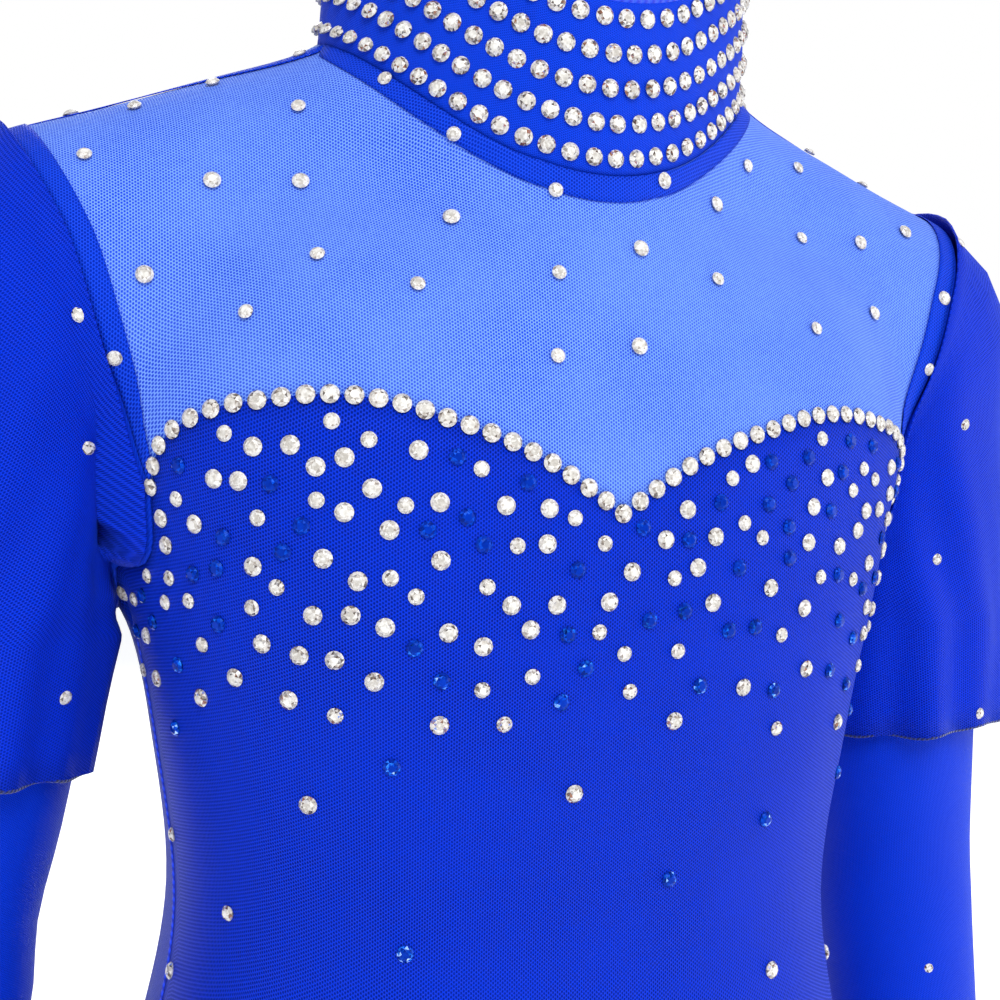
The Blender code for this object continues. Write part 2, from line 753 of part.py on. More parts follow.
def neckline_stones():
    line = both_sides(sweetheart())
    out = outward(line)
    across = np.cross(np.gradient(line, axis=0), out)
    across /= np.linalg.norm(across, axis=1)[:, None]
    half = STONE_SIZE / 2
    grid = np.array([line - across * half, line + across * half])
    shell("neckline_stone_row", grid[:, 1:-1], np.array([out, out])[:, 1:-1], STONES, CRYSTAL,
          roughness=0.1)


def seam_tape(name, edge, beside):
    """A narrow strip inside an edge, on the side of the next row of points."""
    length = np.linalg.norm(beside - edge, axis=1)[:, None]
    out = outward(edge), outward(beside)
    rows = []
    for reach in TAPE:
        share = reach / length
        rows.append(edge + (beside - edge) * share
                    + (out[0] * (1 - share) + out[1] * share) * TAPE_LAYER[0])
    grid = inset(np.array(rows), TAPE_END, "lr")
    out = np.array([out[0], out[0]])
    shell(name, grid, out, (0, TAPE_LAYER[1] - TAPE_LAYER[0]), DEEP)


def seam_tapes():
    yoke = yoke_grid()
    start, end = ALONG_SHOULDER, ALONG_SHOULDER + 2 * ALONG_HALF_COLLAR
    seam_tape("collar_seam_tape", yoke[0, start:end + 1], yoke[1, start:end + 1])
    seam_tape("shoulder_seam_tape_right", yoke[0, :start + 1], yoke[1, :start + 1])
    seam_tape("shoulder_seam_tape_left", yoke[0, end:], yoke[1, end:])
    seam_tape("armhole_seam_tape_right", yoke[:, 0], yoke[:, 1])
    seam_tape("armhole_seam_tape_left", yoke[:, -1], yoke[:, -2])


def sleeves():
    grid, out = sleeve_grid(), sleeve_normals()
    length = np.linalg.norm(grid[-1, 0] - grid[-2, 0])
    cut = WRIST_HEM / length
    rows = np.arange(len(grid), dtype=float)
    rows[-1] -= cut
    columns = grid.shape[1]
    around = np.arange(columns)
    closed_grid = np.concatenate([grid, grid[:, :1]], axis=1)
    closed_out = np.concatenate([out, out[:, :1]], axis=1)
    tube_grid = inset(patch(closed_grid, around, rows), SEAM, "tb")
    tube_grid = inset(tube_grid, SLEEVE_START, "t")
    hem = [rows[-1], rows[-1] + cut]
    for name, side in SIDES:
        shell("sleeve_" + name, on_side(tube_grid, side),
              on_side(patch(closed_out, around, rows), side), FABRIC, BLUE, ring=True)
        shell("wrist_hem_" + name,
              on_side(inset(patch(closed_grid, around, hem), SEAM, "t"), side),
              on_side(patch(closed_out, around, hem), side), FABRIC, DEEP, ring=True)


def petal(first, last, lift):
    """An over-sleeve petal between two sleeve columns, flaring off the arm to its hem."""
    rows = PETAL_ROWS
    grid, out = sleeve_grid(), sleeve_normals()
    numbers = np.arange(first, last + 1)
    fold_pitch, hem_curve = 1.9, 2
    columns = numbers % grid.shape[1]
    sheet, out = grid[:rows + 1, columns], out[:rows + 1, columns]
    t = (np.arange(rows + 1) / rows)[:, None]
    outer = 0.5 + 0.5 * np.cos(2 * np.pi * columns / grid.shape[1])[None]
    folds = np.sin(columns * fold_pitch)[None]
    flare = lift * np.clip(2 - np.abs(numbers), 0, 1)[None] + PETAL_EASE * t * outer
    flare = flare + PETAL_FOLD * t**hem_curve * folds * outer
    return sheet + out * flare[..., None], out


def oversleeves():
    around = sleeve_grid().shape[1]
    half = around // 2
    petals = (("front", petal(-1, half - 1, PETAL_LIFT)), ("back", petal(half + 2, around, 0.0)))
    for name, side in SIDES:
        for part, (sheet, out) in petals:
            grid = inset(inset(sheet, 2 * SEAM), SLEEVE_START, "t")
            shell(f"oversleeve_{part}_{name}", on_side(grid, side), on_side(out, side), PETAL,
                  BLUE)
            middle = (PETAL[0] + PETAL[1]) / 2
            down = sheet[-1] - sheet[-2]
            down /= np.linalg.norm(down, axis=1)[:, None]
            line = sheet[-1] + out[-1] * middle + down * HEM_RADIUS * 1.2
            tube(f"oversleeve_{part}_hem_{name}", on_side(inset_line(line, 0.002), side),
                 HEM_RADIUS, NAVY)


def inset_line(line, amount):
    line = line.copy()
    line[0] += amount * (line[1] - line[0]) / np.linalg.norm(line[1] - line[0])
    line[-1] += amount * (line[-2] - line[-1]) / np.linalg.norm(line[-2] - line[-1])
    return line


def leg_elastics():
    front, back = leg_line(True), leg_line(False)
    line = np.vstack([front[:-1], back[::-1][:-1]])
    middle = (FABRIC[0] + FABRIC[1]) / 2
    centre = line.mean(0)
    away = centre - line
    away /= np.linalg.norm(away, axis=1)[:, None]
    line = line + outward(line, trunk_distance) * middle + away * ELASTIC_RADIUS * 1.5
    for name, side in SIDES:
        tube("leg_elastic_" + name, on_side(line, side), ELASTIC_RADIUS, DEEP, sides=6,
             closed=True)


def tooth_outline(side):
    """One side of the zip: a spine with square teeth that stop short of the middle."""
    inner, outer = (side * edge for edge in SPINE)
    tip = side * TOOTH_TIP
    outline = [(outer, TEETH[0]), (outer, TEETH[1])]
    pitch = (TEETH[1] - TEETH[0]) / TEETH_COUNT
    tooth = 0.55 * pitch
    for k in range(TEETH_COUNT):
        top = TEETH[1] - k * pitch
        outline += [(tip, top), (tip, top - tooth), (inner, top - tooth), (inner, top - pitch)]
    return outline


def zip_fastener():
    metal = {"metallic": 1.0, "roughness": 0.3}
    above = (TEETH[1] + STOP_GAP, TEETH[1] + STOP_GAP + STOP_LENGTH)
    below = (TEETH[0] - STOP_GAP - STOP_LENGTH, TEETH[0] - STOP_GAP)
    for name, side in SIDES:
        edges = sorted(side * edge for edge in ZIP_TAPE)
        zip_block("zip_tape_" + name, edges, ZIP_TAPE_REACH, ZIP_TAPE_LAYER, DEEP)
        zip_prism("zip_teeth_" + name, tooth_outline(side), CHAIN, NAVY)
        stop = sorted((side * TOOTH_TIP, side * SPINE[1]))
        zip_block("zip_top_stop_" + name, stop, above, CHAIN, STEEL, **metal)
    zip_block("zip_bottom_stop", (-SPINE[1], SPINE[1]), below, CHAIN, STEEL, **metal)


def round_bar(name, along, height, half, radius, sides=12):
    """A round bar across the zip."""
    turn = np.linspace(0, 2 * np.pi, sides, endpoint=False)
    points = [zip_point(x, along + radius * np.cos(t), height + radius * np.sin(t))
              for x in (-half, half) for t in turn]
    faces = [tuple(range(sides))[::-1], tuple(range(sides, 2 * sides))]
    faces += [(k, (k + 1) % sides, sides + (k + 1) % sides, sides + k) for k in range(sides)]
    return add(name, points, outside(points, faces), STEEL)


def zip_slider():
    """Two plates joined by a thin wedge at the top end, and two ears with a pin."""
    at = SLIDER_REST
    wide = (-SLIDER_HALF_WIDTH, SLIDER_HALF_WIDTH)
    long = (at - SLIDER_HALF_LENGTH, at + SLIDER_HALF_LENGTH)
    under = zip_block("zip_slider", wide, long, UNDER_PLATE, STEEL, metallic=1.0, roughness=0.3)
    over = zip_block("over", wide, long, OVER_PLATE, STEEL)
    half_wedge, half_lug, overlap = 0.0002, 0.0012, 0.0002
    wedge = zip_block("wedge", (-half_wedge, half_wedge), (at + 0.0020, long[1] - 0.0001),
                      (UNDER_PLATE[1] - 3 * overlap, OVER_PLATE[0] + overlap), STEEL)
    lugs = [zip_block(f"lug{side}", sorted(side * edge for edge in LUGS),
                      (at - half_lug, at + half_lug), (OVER_PLATE[1] - overlap, LUG_TOP), STEEL)
            for side in (-1, 1)]
    pin = round_bar("pin", at, PIN_HEIGHT, LUGS[1] - overlap, PIN_RADIUS)
    middle = (CHAIN[0] + CHAIN[1]) / 2
    joined(under, [over, wedge, *lugs, pin], zip_point(0, at, middle))


def pull_tab():
    """A flat tab with an eye round the slider's pin, lying down along the zip."""
    at, sides = SLIDER_REST, 12
    hole, eye = PIN_RADIUS + 0.0003, PIN_RADIUS + 0.0011
    half_eye, half_neck = 0.0008, 0.0007
    neck_end, plate_start = 0.0060, 0.0055
    turn = np.linspace(0, 2 * np.pi, sides, endpoint=False)
    points = [zip_point(x, at + r * np.cos(t), PIN_HEIGHT + r * np.sin(t))
              for x in (-half_eye, half_eye) for r in (hole, eye) for t in turn]
    faces = []
    for k in range(sides):
        n = (k + 1) % sides
        faces += [(k, sides + k, sides + n, n), (2 * sides + k, 2 * sides + n, 3 * sides + n,
                                                 3 * sides + k)]
        faces += [(k, n, 2 * sides + n, 2 * sides + k),
                  (sides + k, 3 * sides + k, 3 * sides + n, sides + n)]
    ring = add("zip_pull_tab", points, outside(points, faces), STEEL, metallic=1.0,
               roughness=0.3)
    height = (PIN_HEIGHT - TAB_HALF, PIN_HEIGHT + TAB_HALF)
    neck = zip_block("neck", (-half_neck, half_neck), (at - neck_end, at - (hole + eye) / 2),
                     height, STEEL)
    plate = zip_block("plate", (-TAB_HALF_WIDTH, TAB_HALF_WIDTH),
                      (at - TAB_END, at - plate_start), height, STEEL)
    joined(ring, [neck, plate], zip_point(0, at, PIN_HEIGHT))


def hook_and_eye():
    """A wire hook on the wearer's left end of the collar and its eye on the right end."""
    at, level = HOOK_AT, -0.0006
    hook = [(0.0090, -0.0015, level), (0.0097, 0, level), (0.0088, 0.0015, level),
            (0.0050, 0.0008, level - 0.0004), (0.0010, 0.0002, level - 0.0008),
            (-0.0028, 0, level - 0.0008), (-0.0036, 0, level), (-0.0028, 0, level + 0.0008),
            (-0.0004, 0, level + 0.0008)]
    tube("collar_hook", [zip_point(x, at + s, h) for x, s, h in hook], WIRE, STEEL, sides=6,
         metallic=1.0, roughness=0.3)
    eye = [(-0.0016, -0.0020), (-0.0016, 0.0020), (-0.0050, 0.0024), (-0.0088, 0.0016),
           (-0.0096, 0), (-0.0088, -0.0016), (-0.0050, -0.0024)]
    tube("collar_eye", [zip_point(x, at + s, level) for x, s in eye], WIRE, STEEL, sides=6,
         closed=True, metallic=1.0, roughness=0.3)


def main():
    for obj in list(bpy.data.objects):
        bpy.data.objects.remove(obj)
    body_panels()
    gusset()
    yokes()
    collar()
    neckline_stones()
    seam_tapes()
    sleeves()
    oversleeves()
    leg_elastics()
    zip_fastener()
    zip_slider()
    pull_tab()
    hook_and_eye()


main()
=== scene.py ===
"""Looks for the gymnastics leotard: cloth, mesh, stones, trims, light and camera round the CAD frame.

Metres, +Z up, wearer's front towards -Y and the wearer's left at +X, as in the CAD model.
"""

import math
from functools import lru_cache

import bpy
import numpy as np
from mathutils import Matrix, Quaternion, Vector


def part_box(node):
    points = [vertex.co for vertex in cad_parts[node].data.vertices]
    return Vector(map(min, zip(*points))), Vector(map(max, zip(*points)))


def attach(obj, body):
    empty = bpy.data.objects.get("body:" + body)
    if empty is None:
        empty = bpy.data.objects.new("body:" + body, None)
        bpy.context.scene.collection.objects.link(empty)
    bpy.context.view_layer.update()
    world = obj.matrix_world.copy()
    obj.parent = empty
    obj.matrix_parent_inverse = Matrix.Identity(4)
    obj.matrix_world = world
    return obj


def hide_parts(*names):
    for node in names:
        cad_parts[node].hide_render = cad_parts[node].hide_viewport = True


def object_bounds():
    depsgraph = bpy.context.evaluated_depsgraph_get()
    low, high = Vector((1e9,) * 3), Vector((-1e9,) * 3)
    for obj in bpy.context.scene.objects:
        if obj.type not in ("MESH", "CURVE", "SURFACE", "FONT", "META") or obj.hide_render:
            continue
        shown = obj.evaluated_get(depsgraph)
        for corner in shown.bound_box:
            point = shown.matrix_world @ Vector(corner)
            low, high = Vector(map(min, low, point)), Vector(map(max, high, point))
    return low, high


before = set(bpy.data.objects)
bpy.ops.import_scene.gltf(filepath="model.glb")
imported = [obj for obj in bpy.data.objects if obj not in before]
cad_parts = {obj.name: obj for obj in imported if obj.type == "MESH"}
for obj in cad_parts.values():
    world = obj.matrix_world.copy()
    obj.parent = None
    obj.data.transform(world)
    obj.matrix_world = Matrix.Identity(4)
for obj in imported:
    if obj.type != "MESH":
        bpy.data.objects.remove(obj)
cad_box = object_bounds()
BODY = "garment"

# ---------------------------------------------------------------- sizes shared with the CAD model

# The body the garment is shaped on: height, half width, half depth and middle in Y.
TORSO = np.array([
    [-0.375, 0.116, 0.086, 0.013],
    [-0.320, 0.114, 0.085, 0.013],
    [-0.270, 0.101, 0.078, 0.012],
    [-0.215, 0.092, 0.069, 0.010],
    [-0.165, 0.098, 0.072, 0.009],
    [-0.115, 0.108, 0.077, 0.010],
    [-0.075, 0.115, 0.073, 0.010],
    [-0.040, 0.096, 0.058, 0.008],
    [-0.015, 0.055, 0.036, 0.008],
])
SQUARENESS = 2.70
SEAT = ((0.000, 0.010, -0.365), (0.119, 0.089, 0.108))
NECK = ((0.000, 0.000, -0.030), (0.000, -0.018, 0.070), 0.0475, 0.0450)
SHOULDER = ((0.040, 0.006, -0.012), (0.124, 0.012, -0.045), 0.028, 0.030)
UPPER_ARM = ((0.133, 0.014, -0.058), (0.158, 0.034, -0.225), 0.0310, 0.0240)
FOREARM = ((0.158, 0.034, -0.225), (0.167, 0.016, -0.395), 0.0240, 0.0175)

# Distances out from the body.
LINING_TOP = 0.0012
CLOTH_TOP = 0.0036
BAND_TOP = 0.0041
PETAL_TOP = 0.0054

SHOULDER_TIP = (0.138, 0.014, -0.020)
NECKLINE_END = (0.116, -0.036, -0.103)
ARMPIT = (0.112, 0.014, -0.118)
BACK_NECKLINE_END = (0.116, 0.056, -0.096)
SWEETHEART_DIP = -0.103
SWEETHEART_PEAK = (0.072, -0.071)
HIP_CORNER = (0.117, 0.010, -0.318)
CROTCH = (0.020, 0.010, -0.473)
COLLAR_HALF_WIDTH = 0.050
COLLAR_HALF_DEPTH = 0.048
COLLAR_TILT = 0.33
COLLAR_RISE = 0.0200
COLLAR_HEIGHT = 0.0435
COLLAR_LEAN = 0.20
COLLAR_TAPER = 0.0035
COLLAR_BASE = -0.0020
COLLAR_ROWS = 5
ZIP_TOP = (0.0413, 0.0565)
ZIP_BOTTOM = (0.089, -0.128)
ZIP_FLAT = 0.013
ZIP_BLEND = 0.042
ZIP_EDGE = 0.006
ZIP_TAPE = (0.0030, 0.0090)
COLLAR_BAND = 0.0068
SHOULDER_BAND = 0.0038
ARMHOLE_BAND = 0.0060

# Segments along each seam, times the fineness asked for.
ALONG_SHOULDER = 4
ALONG_HALF_COLLAR = 6
ALONG_HALF_NECKLINE = 10
ALONG_YOKE_ARMHOLE = 6
ALONG_BODY_ARMHOLE = 3
ALONG_SIDE = 10
ALONG_LEG = 11
ALONG_CROTCH = 4
CAP_ROWS = 3                    # sleeve rows that turn the armhole into a round sleeve
CAP_END = 0.24                  # share of the arm that they cover
SLEEVE_ROWS = 7                 # rows below the cap
LINING_ROWS = 8                 # panel rows that the front lining covers
FINE = 4                        # how much finer than the CAD model the cloth is

# Stones.
LARGE = 0.0047
SMALL = 0.0040
NECKLINE_STEPS = 24
COLLAR_PITCH = 0.0062
STONE_LIFT = 0.0002             # glue under each stone
DENSE_FLOOR = -0.155            # the thick scatter of stones ends at this height
SPARSE_FLOOR = -0.245

# Petals.
PETAL_ROWS = 4                  # CAD rows that a petal runs down the sleeve
PETAL_EASE = 0.0060
PETAL_LIFT = 0.0016
FOLD_DEPTH = 0.0044
EDGE_WAVE = 0.0026

CUT_SHARE = 0.92                # how much smaller stretch cloth is cut than it is worn
WELD_GAP = 0.00002              # points nearer than this are one point

CAMERA_AT = (-0.158, -0.392, -0.093)
CAMERA_TURN = -21.3             # degrees round the wearer, towards the wearer's right
CAMERA_LIFT = 1.4
CAMERA_ROLL = 1.3
CAMERA_LENS = 52.2


# ---------------------------------------------------------------- the body surface

def hermite(z, column):
    heights = TORSO[:, 0]
    values = TORSO[:, column]
    slopes = np.gradient(values, heights)
    i = np.clip(np.searchsorted(heights, z) - 1, 0, len(heights) - 2)
    step = heights[i + 1] - heights[i]
    t = np.clip((z - heights[i]) / step, 0, 1)
    start = (2 * t**3 - 3 * t**2 + 1) * values[i] + (t**3 - 2 * t**2 + t) * step * slopes[i]
    end = (3 * t**2 - 2 * t**3) * values[i + 1] + (t**3 - t**2) * step * slopes[i + 1]
    return start + end


def soft_min(a, b, reach):
    h = np.clip(0.5 + 0.5 * (b - a) / reach, 0, 1)
    return b * (1 - h) + a * h - reach * h * (1 - h)


def torso_distance(p):
    half_width, half_depth, middle = (hermite(p[:, 2], column) for column in (1, 2, 3))
    x, y = np.abs(p[:, 0]), np.abs(p[:, 1] - middle)
    scaled = (x / half_width) ** SQUARENESS + (y / half_depth) ** SQUARENESS
    scaled = np.maximum(scaled ** (1 / SQUARENESS), 0.05)
    aside = np.hypot(x, y) * (1 - 1 / scaled)
    above = np.maximum(TORSO[0, 0] - p[:, 2], p[:, 2] - TORSO[-1, 0])
    return np.where(above > 0, np.hypot(np.maximum(aside, 0), above), aside)


def limb_distance(p, limb):
    start, end = np.array(limb[0]), np.array(limb[1])
    axis = end - start
    t = np.clip((p - start) @ axis / (axis @ axis), 0, 1)
    radius = limb[2] + (limb[3] - limb[2]) * t
    return np.linalg.norm(p - start - t[:, None] * axis, axis=1) - radius


def seat_distance(p):
    centre, radii = np.array(SEAT[0]), np.array(SEAT[1])
    near = np.linalg.norm((p - centre) / radii, axis=1)
    slope = np.linalg.norm((p - centre) / radii**2, axis=1)
    return near * (near - 1) / np.maximum(slope, 1e-6)


def trunk_distance(p):
    return soft_min(torso_distance(p), seat_distance(p), 0.020)


def arm_distance(p):
    q = np.column_stack([np.abs(p[:, 0]), p[:, 1], p[:, 2]])
    arm = np.minimum(limb_distance(q, UPPER_ARM), limb_distance(q, FOREARM))
    return soft_min(arm, limb_distance(q, SHOULDER), 0.020)


def body_distance(p):
    """Roughly how far outside the body each point is."""
    q = np.column_stack([np.abs(p[:, 0]), p[:, 1], p[:, 2]])
    d = soft_min(trunk_distance(q), limb_distance(q, SHOULDER), 0.030)
    d = soft_min(d, limb_distance(q, NECK), 0.026)
    return soft_min(d, arm_distance(q), 0.022)


def gradient(p, distance):
    h = 0.0005
    steps = np.eye(3) * h
    return np.column_stack([(distance(p + s) - distance(p - s)) / (2 * h) for s in steps])


def onto(p, distance, rounds=12):
    """The points moved onto the surface where the distance is zero."""
    p = np.array(p, float)
    for _ in range(rounds):
        g = gradient(p, distance)
        p = p - g * (distance(p) / np.maximum((g**2).sum(1), 1e-6))[:, None] * 0.9
    return p


def zip_y(z):
    (y0, z0), (y1, z1) = ZIP_TOP, ZIP_BOTTOM
    return y0 + (y1 - y0) * (z - z0) / (z1 - z0)


def zip_share(p):
    """How much each point belongs to the flat strip along the zip."""
    near = np.clip((ZIP_BLEND - np.abs(p[:, 0])) / (ZIP_BLEND - ZIP_FLAT), 0, 1)
    low = np.clip((p[:, 2] - ZIP_BOTTOM[1] + 0.045) / 0.045, 0, 1)
    behind = np.clip((p[:, 1] - 0.025) / 0.015, 0, 1)
    return near**2 * (3 - 2 * near) * low**2 * (3 - 2 * low) * behind


def zip_frame():
    """Where the zip line starts, its direction upwards and its outward normal."""
    start = np.array([0, ZIP_BOTTOM[0], ZIP_BOTTOM[1]])
    line = np.array([0, ZIP_TOP[0], ZIP_TOP[1]]) - start
    along = line / np.linalg.norm(line)
    return start, along, np.array([0, along[2], -along[1]])


def on_body(p):
    p = onto(p, body_distance)
    p[:, 1] += zip_share(p) * (zip_y(p[:, 2]) - p[:, 1])
    return p


def unit(v):
    return v / np.maximum(np.linalg.norm(v, axis=-1), 1e-9)[..., None]


def outward(p, distance=body_distance):
    n = unit(gradient(p, distance))
    if distance is body_distance:
        n = unit(n + zip_share(p)[:, None] * (zip_frame()[2] - n))
    return n


# ---------------------------------------------------------------- curves

def arc(p):
    """Length from the start to each point of a line."""
    return np.r_[0, np.cumsum(np.linalg.norm(np.diff(p, axis=0), axis=1))]


def resample(p, count):
    length = arc(p)
    at = np.linspace(0, length[-1], count + 1)
    return np.column_stack([np.interp(at, length, p[:, k]) for k in range(3)])


def through(values, per, closed=False):
    """Each gap between neighbours divided in so many, on a smooth curve through all values."""
    v = np.array(values, float)
    if closed:
        v = np.concatenate([v[-1:], v, v[:2]])
    else:
        v = np.concatenate([2 * v[:1] - v[1:2], v, 2 * v[-1:] - v[-2:-1]])
    t = (np.arange(per) / per).reshape((1, per) + (1,) * (v.ndim - 1))
    a, b, c, d = (v[k:len(v) - 3 + k][:, None] for k in range(4))
    fine = 0.5 * (2 * b + (c - a) * t + (2 * a - 5 * b + 4 * c - d) * t**2
                  + (3 * b - a - 3 * c + d) * t**3)
    fine = fine.reshape((-1,) + v.shape[1:])
    return fine if closed else np.concatenate([fine, v[-2:-1]])


def on_trunk(p):
    return onto(p, trunk_distance)


def laid(points, count, settle=on_body):
    """A curve through the points, laid on the body, in count equal segments."""
    return resample(settle(resample(through(points, 24), 160)), count)


def mirror(p):
    return p * np.array([-1, 1, 1])


@lru_cache
def collar_seam(fine):
    """Half of the collar seam, from the centre front round the wearer's left to the zip."""
    count = ALONG_HALF_COLLAR * fine + 1
    front = np.linspace(0, np.pi / 2, count)
    back = np.linspace(np.pi / 2, np.pi - ZIP_EDGE / COLLAR_HALF_WIDTH, count)
    turn = np.r_[front, back[1:]]
    x = COLLAR_HALF_WIDTH * np.sin(turn)
    y = -COLLAR_HALF_DEPTH * np.cos(turn)
    ring = np.column_stack([x, y - 0.004, y * 0])
    for _ in range(20):
        ring[:, 2] = COLLAR_BASE + COLLAR_TILT * ring[:, 1] + COLLAR_RISE * np.sin(turn)**2
        aside = gradient(ring, body_distance) * [1, 1, 0]
        steep = np.maximum((aside**2).sum(1), 0.1)
        ring -= aside * (body_distance(ring) / steep)[:, None] * 0.8
    ring[:, 1] += zip_share(ring) * (zip_y(ring[:, 2]) - ring[:, 1])
    ring[0, 0] = 0
    ring[-1, 0] = ZIP_EDGE
    return ring


@lru_cache
def shoulder_seam(fine):
    neck = collar_seam(fine)[ALONG_HALF_COLLAR * fine]
    tip = np.array(SHOULDER_TIP)
    line = laid([neck, (neck + tip) / 2 + [0, 0, 0.010], tip], ALONG_SHOULDER * fine)
    line[0] = neck
    return line


def armhole_part(a, b, bulge, count):
    a, b = np.array(a), np.array(b)
    return laid([a, (a + b) / 2 + np.array(bulge), b], count)


@lru_cache
def armhole(fine):
    """The armhole loop: tip, front to the neckline, armpit, back neckline and tip again."""
    tip = shoulder_seam(fine)[-1]
    yoke, body = ALONG_YOKE_ARMHOLE * fine, ALONG_BODY_ARMHOLE * fine
    front = armhole_part(tip, NECKLINE_END, (-0.004, -0.016, 0.006), yoke)
    under = armhole_part(front[-1], ARMPIT, (-0.004, -0.012, -0.010), body)
    behind = armhole_part(under[-1], BACK_NECKLINE_END, (-0.002, 0.012, -0.010), body)
    back = armhole_part(behind[-1], tip, (0.000, 0.010, 0.006), yoke)
    back[-1] = tip
    return front, under, behind, back


@lru_cache
def sweetheart(fine):
    """The neckline from the point in the middle to the wearer's left armhole."""
    end = armhole(fine)[0][-1]
    x_peak, z_peak = SWEETHEART_PEAK
    rise = z_peak - SWEETHEART_DIP
    points = [(0, -0.10, SWEETHEART_DIP),
              (0.36 * x_peak, -0.10, SWEETHEART_DIP + 0.55 * rise),
              (0.68 * x_peak, -0.095, SWEETHEART_DIP + 0.87 * rise),
              (x_peak, -0.085, z_peak),
              (x_peak + 0.020, -0.070, z_peak - 0.003),
              end + np.array([-0.003, -0.008, 0.013]),
              end]
    line = laid(points, ALONG_HALF_NECKLINE * fine)
    line[-1] = end
    return line


@lru_cache
def back_neckline(fine):
    """From the bottom of the zip to the wearer's left armhole."""
    end = armhole(fine)[2][-1]
    low = ZIP_BOTTOM[1]
    points = [(ZIP_EDGE, 0.09, low), (0.035, 0.09, low + 0.004), (0.080, 0.075, low + 0.016), end]
    line = laid(points, ALONG_HALF_NECKLINE * fine)
    line[-1] = end
    return line


@lru_cache
def side_seam(fine):
    armpit = armhole(fine)[1][-1]
    points = [armpit, (0.102, 0.010, -0.150), (0.097, 0.006, -0.215), (0.107, 0.008, -0.270),
              HIP_CORNER]
    line = laid(points, ALONG_SIDE * fine, on_trunk)
    line[0] = armpit
    return line


@lru_cache
def leg_line(front, fine):
    """The leg opening from the side seam to the crotch, at the front or the back."""
    hip = side_seam(fine)[-1]
    if front:
        points = [hip, (0.100, -0.050, -0.352), (0.070, -0.060, -0.388), (0.042, -0.050, -0.425),
                  (0.024, -0.020, -0.462), CROTCH]
    else:
        points = [hip, (0.104, 0.065, -0.352), (0.080, 0.080, -0.385), (0.052, 0.070, -0.420),
                  (0.029, 0.045, -0.458), CROTCH]
    line = laid(points, ALONG_LEG * fine, on_trunk)
    line[0] = hip
    line[-1] = on_trunk([CROTCH])[0]
    return line


def both_sides(half, middle=None):
    """The right half mirrored, then the left half, from the wearer's right to the left."""
    right = mirror(half[::-1])
    if middle is not None:
        return np.vstack([right, middle, half])
    return np.vstack([right[:-1], half])


# ---------------------------------------------------------------- cloth grids

def coons(top, bottom, left, right):
    """A plain grid between four edges. left and right run downwards."""
    u = np.linspace(0, 1, len(top))[None, :, None]
    v = np.linspace(0, 1, len(left))[:, None, None]
    grid = (1 - v) * top[None] + v * bottom[None] + (1 - u) * left[:, None] + u * right[:, None]
    grid -= (1 - u) * (1 - v) * top[0] + u * (1 - v) * top[-1]
    grid -= (1 - u) * v * bottom[0] + u * v * bottom[-1]
    return grid


def settled(p, push):
    """The points on the body, starting from push in front of it, or behind it if negative."""
    p = onto(p - [0, push, 0], body_distance, 4)
    p[:, 1] += zip_share(p) * (zip_y(p[:, 2]) - p[:, 1])
    return p


def panel(edges, push):
    """A fine grid on the body. It is evened out coarsely, and its edges are exact."""
    plain = coons(*edges(1))
    grid = plain.copy()
    for turn in range(90):
        inner = grid[1:-1, 1:-1]
        if turn:
            inner[:] = (grid[:-2, 1:-1] + grid[2:, 1:-1] + grid[1:-1, :-2] + grid[1:-1, 2:]) / 4
        inner[:] = settled(inner.reshape(-1, 3), 0 if turn else push).reshape(inner.shape)
    moved = through(through(grid - plain, FINE).swapaxes(0, 1), FINE).swapaxes(0, 1)
    fine = coons(*edges(FINE)) + moved
    inner = fine[1:-1, 1:-1]
    inner[:] = settled(inner.reshape(-1, 3), 0).reshape(inner.shape)
    return fine


def body_edges(half_top, front, fine):
    """Top, bottom and side edges of a body panel, from the left half of its top edge."""
    leg = leg_line(front, fine)
    crotch = np.linspace(mirror(leg[-1]), leg[-1], ALONG_CROTCH * fine + 1)[1:-1]
    bottom = both_sides(leg[::-1], on_trunk(crotch))
    side = side_seam(fine)
    return both_sides(half_top), bottom, mirror(side), side


def front_edges(fine):
    return body_edges(np.vstack([sweetheart(fine)[:-1], armhole(fine)[1]]), True, fine)


def back_edges(fine):
    half = np.vstack([back_neckline(fine)[:-1], armhole(fine)[2][::-1]])
    half[0, 0] = 0
    half[0, 2] -= (half[1, 2] - half[0, 2]) * ZIP_EDGE / (half[1, 0] - ZIP_EDGE)
    half[0, 1] = zip_y(half[0, 2])
    return body_edges(half, False, fine)


def yoke_edges(fine):
    half = np.vstack([collar_seam(fine)[:ALONG_HALF_COLLAR * fine], shoulder_seam(fine)])
    edge = armhole(fine)[0]
    return both_sides(half), both_sides(sweetheart(fine)), mirror(edge), edge


def back_yoke_edges(fine):
    """The wearer's left half of the back yoke, from the zip to the armhole."""
    neck = collar_seam(fine)[ALONG_HALF_COLLAR * fine:][::-1]
    top = np.vstack([neck[:-1], shoulder_seam(fine)])
    edge = armhole(fine)[3][::-1]
    middle = np.linspace(top[0], back_neckline(fine)[0], len(edge))
    middle[:, 1] = zip_y(middle[:, 2])
    return top, back_neckline(fine), middle, edge


